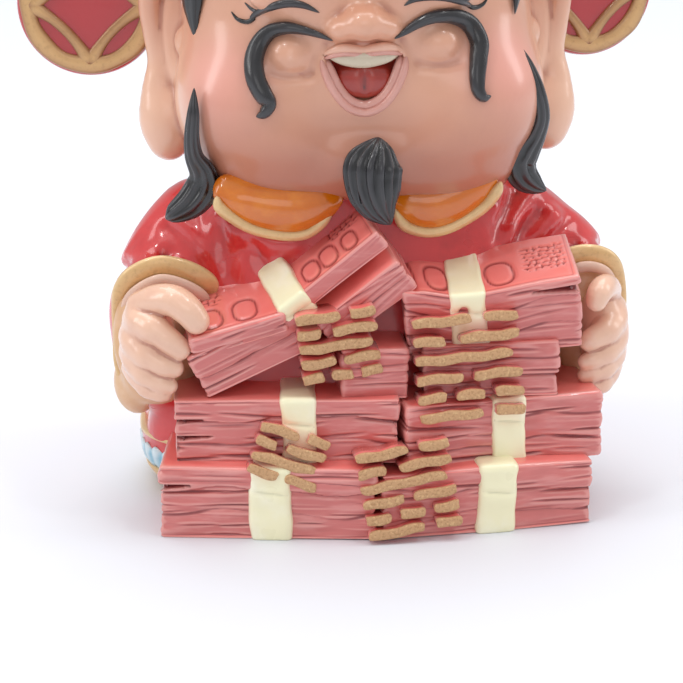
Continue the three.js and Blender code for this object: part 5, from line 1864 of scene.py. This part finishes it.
def build_stage(settings):
    # Smooth matt board: even and pale, with the faintest drift of tone
    paint = painted(
        "matt_white_tabletop", settings.floor,
        [("#d9dde6", {"patches": 90, "start": 0.5, "full": 0.9, "most": 0.3})], 0.6, {"patches": 60}, 0.05,
    )
    half = 3.0
    mesh = bpy.data.meshes.new("tabletop")
    mesh.from_pydata([(-half, -half, 0), (half, -half, 0), (half, half, 0), (-half, half, 0)], [],
                     [(0, 1, 2, 3)])
    mesh.materials.append(paint)
    floor = bpy.data.objects.new("tabletop", mesh)
    bpy.context.scene.collection.objects.link(floor)

    def softbox(name, place, target, size, power):
        data = bpy.data.lights.new(name, "AREA")
        data.shape = "RECTANGLE"
        data.size, data.size_y = size
        data.energy = power * settings.light
        light = bpy.data.objects.new(name, data)
        light.location = place
        light.rotation_euler = (Vector(target) - Vector(place)).to_track_quat("-Z", "Y").to_euler()
        bpy.context.scene.collection.objects.link(light)

    softbox("ceiling_softbox", (0, 0.24, 0.95), (0, 0.08, 0.05), (1.0, 0.9), 8.4)
    softbox("left_softbox", (-0.9, -0.12, 0.5), LIT_SPOT, (0.25, 0.6), 1.9)
    softbox("right_softbox", (0.9, -0.08, 0.5), LIT_SPOT, (0.25, 0.6), 1.6)
    # Two small lamps put the crisp glints on the lacquer
    softbox("left_lamp", (-0.35, -0.25, 0.7), LIT_SPOT, (0.07, 0.07), 0.55)
    softbox("right_lamp", (0.3, -0.25, 0.7), LIT_SPOT, (0.07, 0.07), 0.45)
    softbox("front_softbox", (-0.1, -1.0, 0.45), LIT_SPOT, (0.5, 0.4), 0.7)

    world = bpy.context.scene.world or bpy.data.worlds.new("studio")
    bpy.context.scene.world = world
    world.use_nodes = True
    background = world.node_tree.nodes["Background"]
    background.inputs["Color"].default_value = linear("#fbfcff")
    background.inputs["Strength"].default_value = 0.6
    bpy.context.scene.view_settings.view_transform = "Standard"

    camera = bpy.data.cameras.new("camera")
    camera.sensor_width = SENSOR_WIDTH
    camera.lens = SENSOR_WIDTH / (2 * math.tan(FIELD_OF_VIEW / 2))
    camera.clip_start = 0.01
    seen = bpy.data.objects.new("camera", camera)
    seen.location = (np.array(CAMERA_PLACE) + SHIFT) * MM
    seen.rotation_euler = (math.radians(72), 0, math.radians(-7))
    bpy.context.scene.collection.objects.link(seen)
    bpy.context.scene.camera = seen


# Operators, panel and registration

class CAISHEN_OT_face(bpy.types.Operator):
    """Model the face, ears, lips, tongue and teeth"""

    bl_idname = "caishen.face_and_ears"
    bl_label = "Face and ears"

    def execute(self, context):
        build_face(context.scene.caishen_head)
        return {"FINISHED"}


class CAISHEN_OT_hair(bpy.types.Operator):
    """Model the brows, eyelines, moustache, beard, side locks and nape hair"""

    bl_idname = "caishen.hair_and_beard"
    bl_label = "Hair and beard"

    def execute(self, context):
        build_hair(context.scene.caishen_head)
        return {"FINISHED"}


class CAISHEN_OT_hat(bpy.types.Operator):
    """Model the hat with its brow jewel and two round wings"""

    bl_idname = "caishen.hat_and_wings"
    bl_label = "Hat and wings"

    def execute(self, context):
        build_hat(context.scene.caishen_head, context.scene.caishen_robe)
        return {"FINISHED"}


class CAISHEN_OT_robe(bpy.types.Operator):
    """Model the robe, collar lobes, sleeves, cuffs and hem"""

    bl_idname = "caishen.robe_and_collar"
    bl_label = "Robe and collar"

    def execute(self, context):
        build_robe(context.scene.caishen_robe)
        return {"FINISHED"}


class CAISHEN_OT_hands(bpy.types.Operator):
    """Model the two closed hands"""

    bl_idname = "caishen.hands"
    bl_label = "Hands"

    def execute(self, context):
        build_hands(context.scene.caishen_head)
        return {"FINISHED"}


class CAISHEN_OT_bundles(bpy.types.Operator):
    """Model the bundles of banknotes"""

    bl_idname = "caishen.banknote_bundles"
    bl_label = "Banknote bundles"

    def execute(self, context):
        build_bundles(context.scene.caishen_notes)
        return {"FINISHED"}


class CAISHEN_OT_bands(bpy.types.Operator):
    """Model the paper bands round the bundles"""

    bl_idname = "caishen.paper_bands"
    bl_label = "Paper bands"

    def execute(self, context):
        build_bands(context.scene.caishen_notes)
        return {"FINISHED"}


class CAISHEN_OT_strokes(bpy.types.Operator):
    """Model the rows of raised strokes on the bundles"""

    bl_idname = "caishen.raised_strokes"
    bl_label = "Raised strokes"

    def execute(self, context):
        build_strokes(context.scene.caishen_notes)
        return {"FINISHED"}


class CAISHEN_OT_stage(bpy.types.Operator):
    """Set up the floor, the lights and the camera"""

    bl_idname = "caishen.stage"
    bl_label = "Stage"

    def execute(self, context):
        build_stage(context.scene.caishen_stage)
        return {"FINISHED"}


OPERATORS = [
    CAISHEN_OT_face, CAISHEN_OT_hair, CAISHEN_OT_hat, CAISHEN_OT_robe, CAISHEN_OT_hands,
    CAISHEN_OT_bundles, CAISHEN_OT_bands, CAISHEN_OT_strokes, CAISHEN_OT_stage,
]
SETTINGS = {
    "caishen_head": HeadSettings, "caishen_robe": RobeSettings, "caishen_notes": NotesSettings,
    "caishen_stage": StageSettings,
}


class CAISHEN_PT_panel(bpy.types.Panel):
    """Sizes, colours and building steps of the figure"""

    bl_idname = "CAISHEN_PT_panel"
    bl_label = "Caishen figure"
    bl_space_type = "VIEW_3D"
    bl_region_type = "UI"
    bl_category = "Caishen"

    def draw(self, context):
        for operator in OPERATORS:
            self.layout.operator(operator.bl_idname)
        for name, group in SETTINGS.items():
            box = self.layout.box()
            for setting in group.__annotations__:
                box.prop(getattr(context.scene, name), setting)


def register():
    for group in [*SETTINGS.values(), *OPERATORS, CAISHEN_PT_panel]:
        bpy.utils.register_class(group)
    for name, group in SETTINGS.items():
        setattr(bpy.types.Scene, name, bpy.props.PointerProperty(type=group))


def unregister():
    for name in SETTINGS:
        delattr(bpy.types.Scene, name)
    for group in [CAISHEN_PT_panel, *reversed(OPERATORS), *SETTINGS.values()]:
        bpy.utils.unregister_class(group)


def main():
    register()
    for operator in OPERATORS:
        family, name = operator.bl_idname.split(".")
        getattr(getattr(bpy.ops, family), name)()


if __name__ == "__main__":
    main()
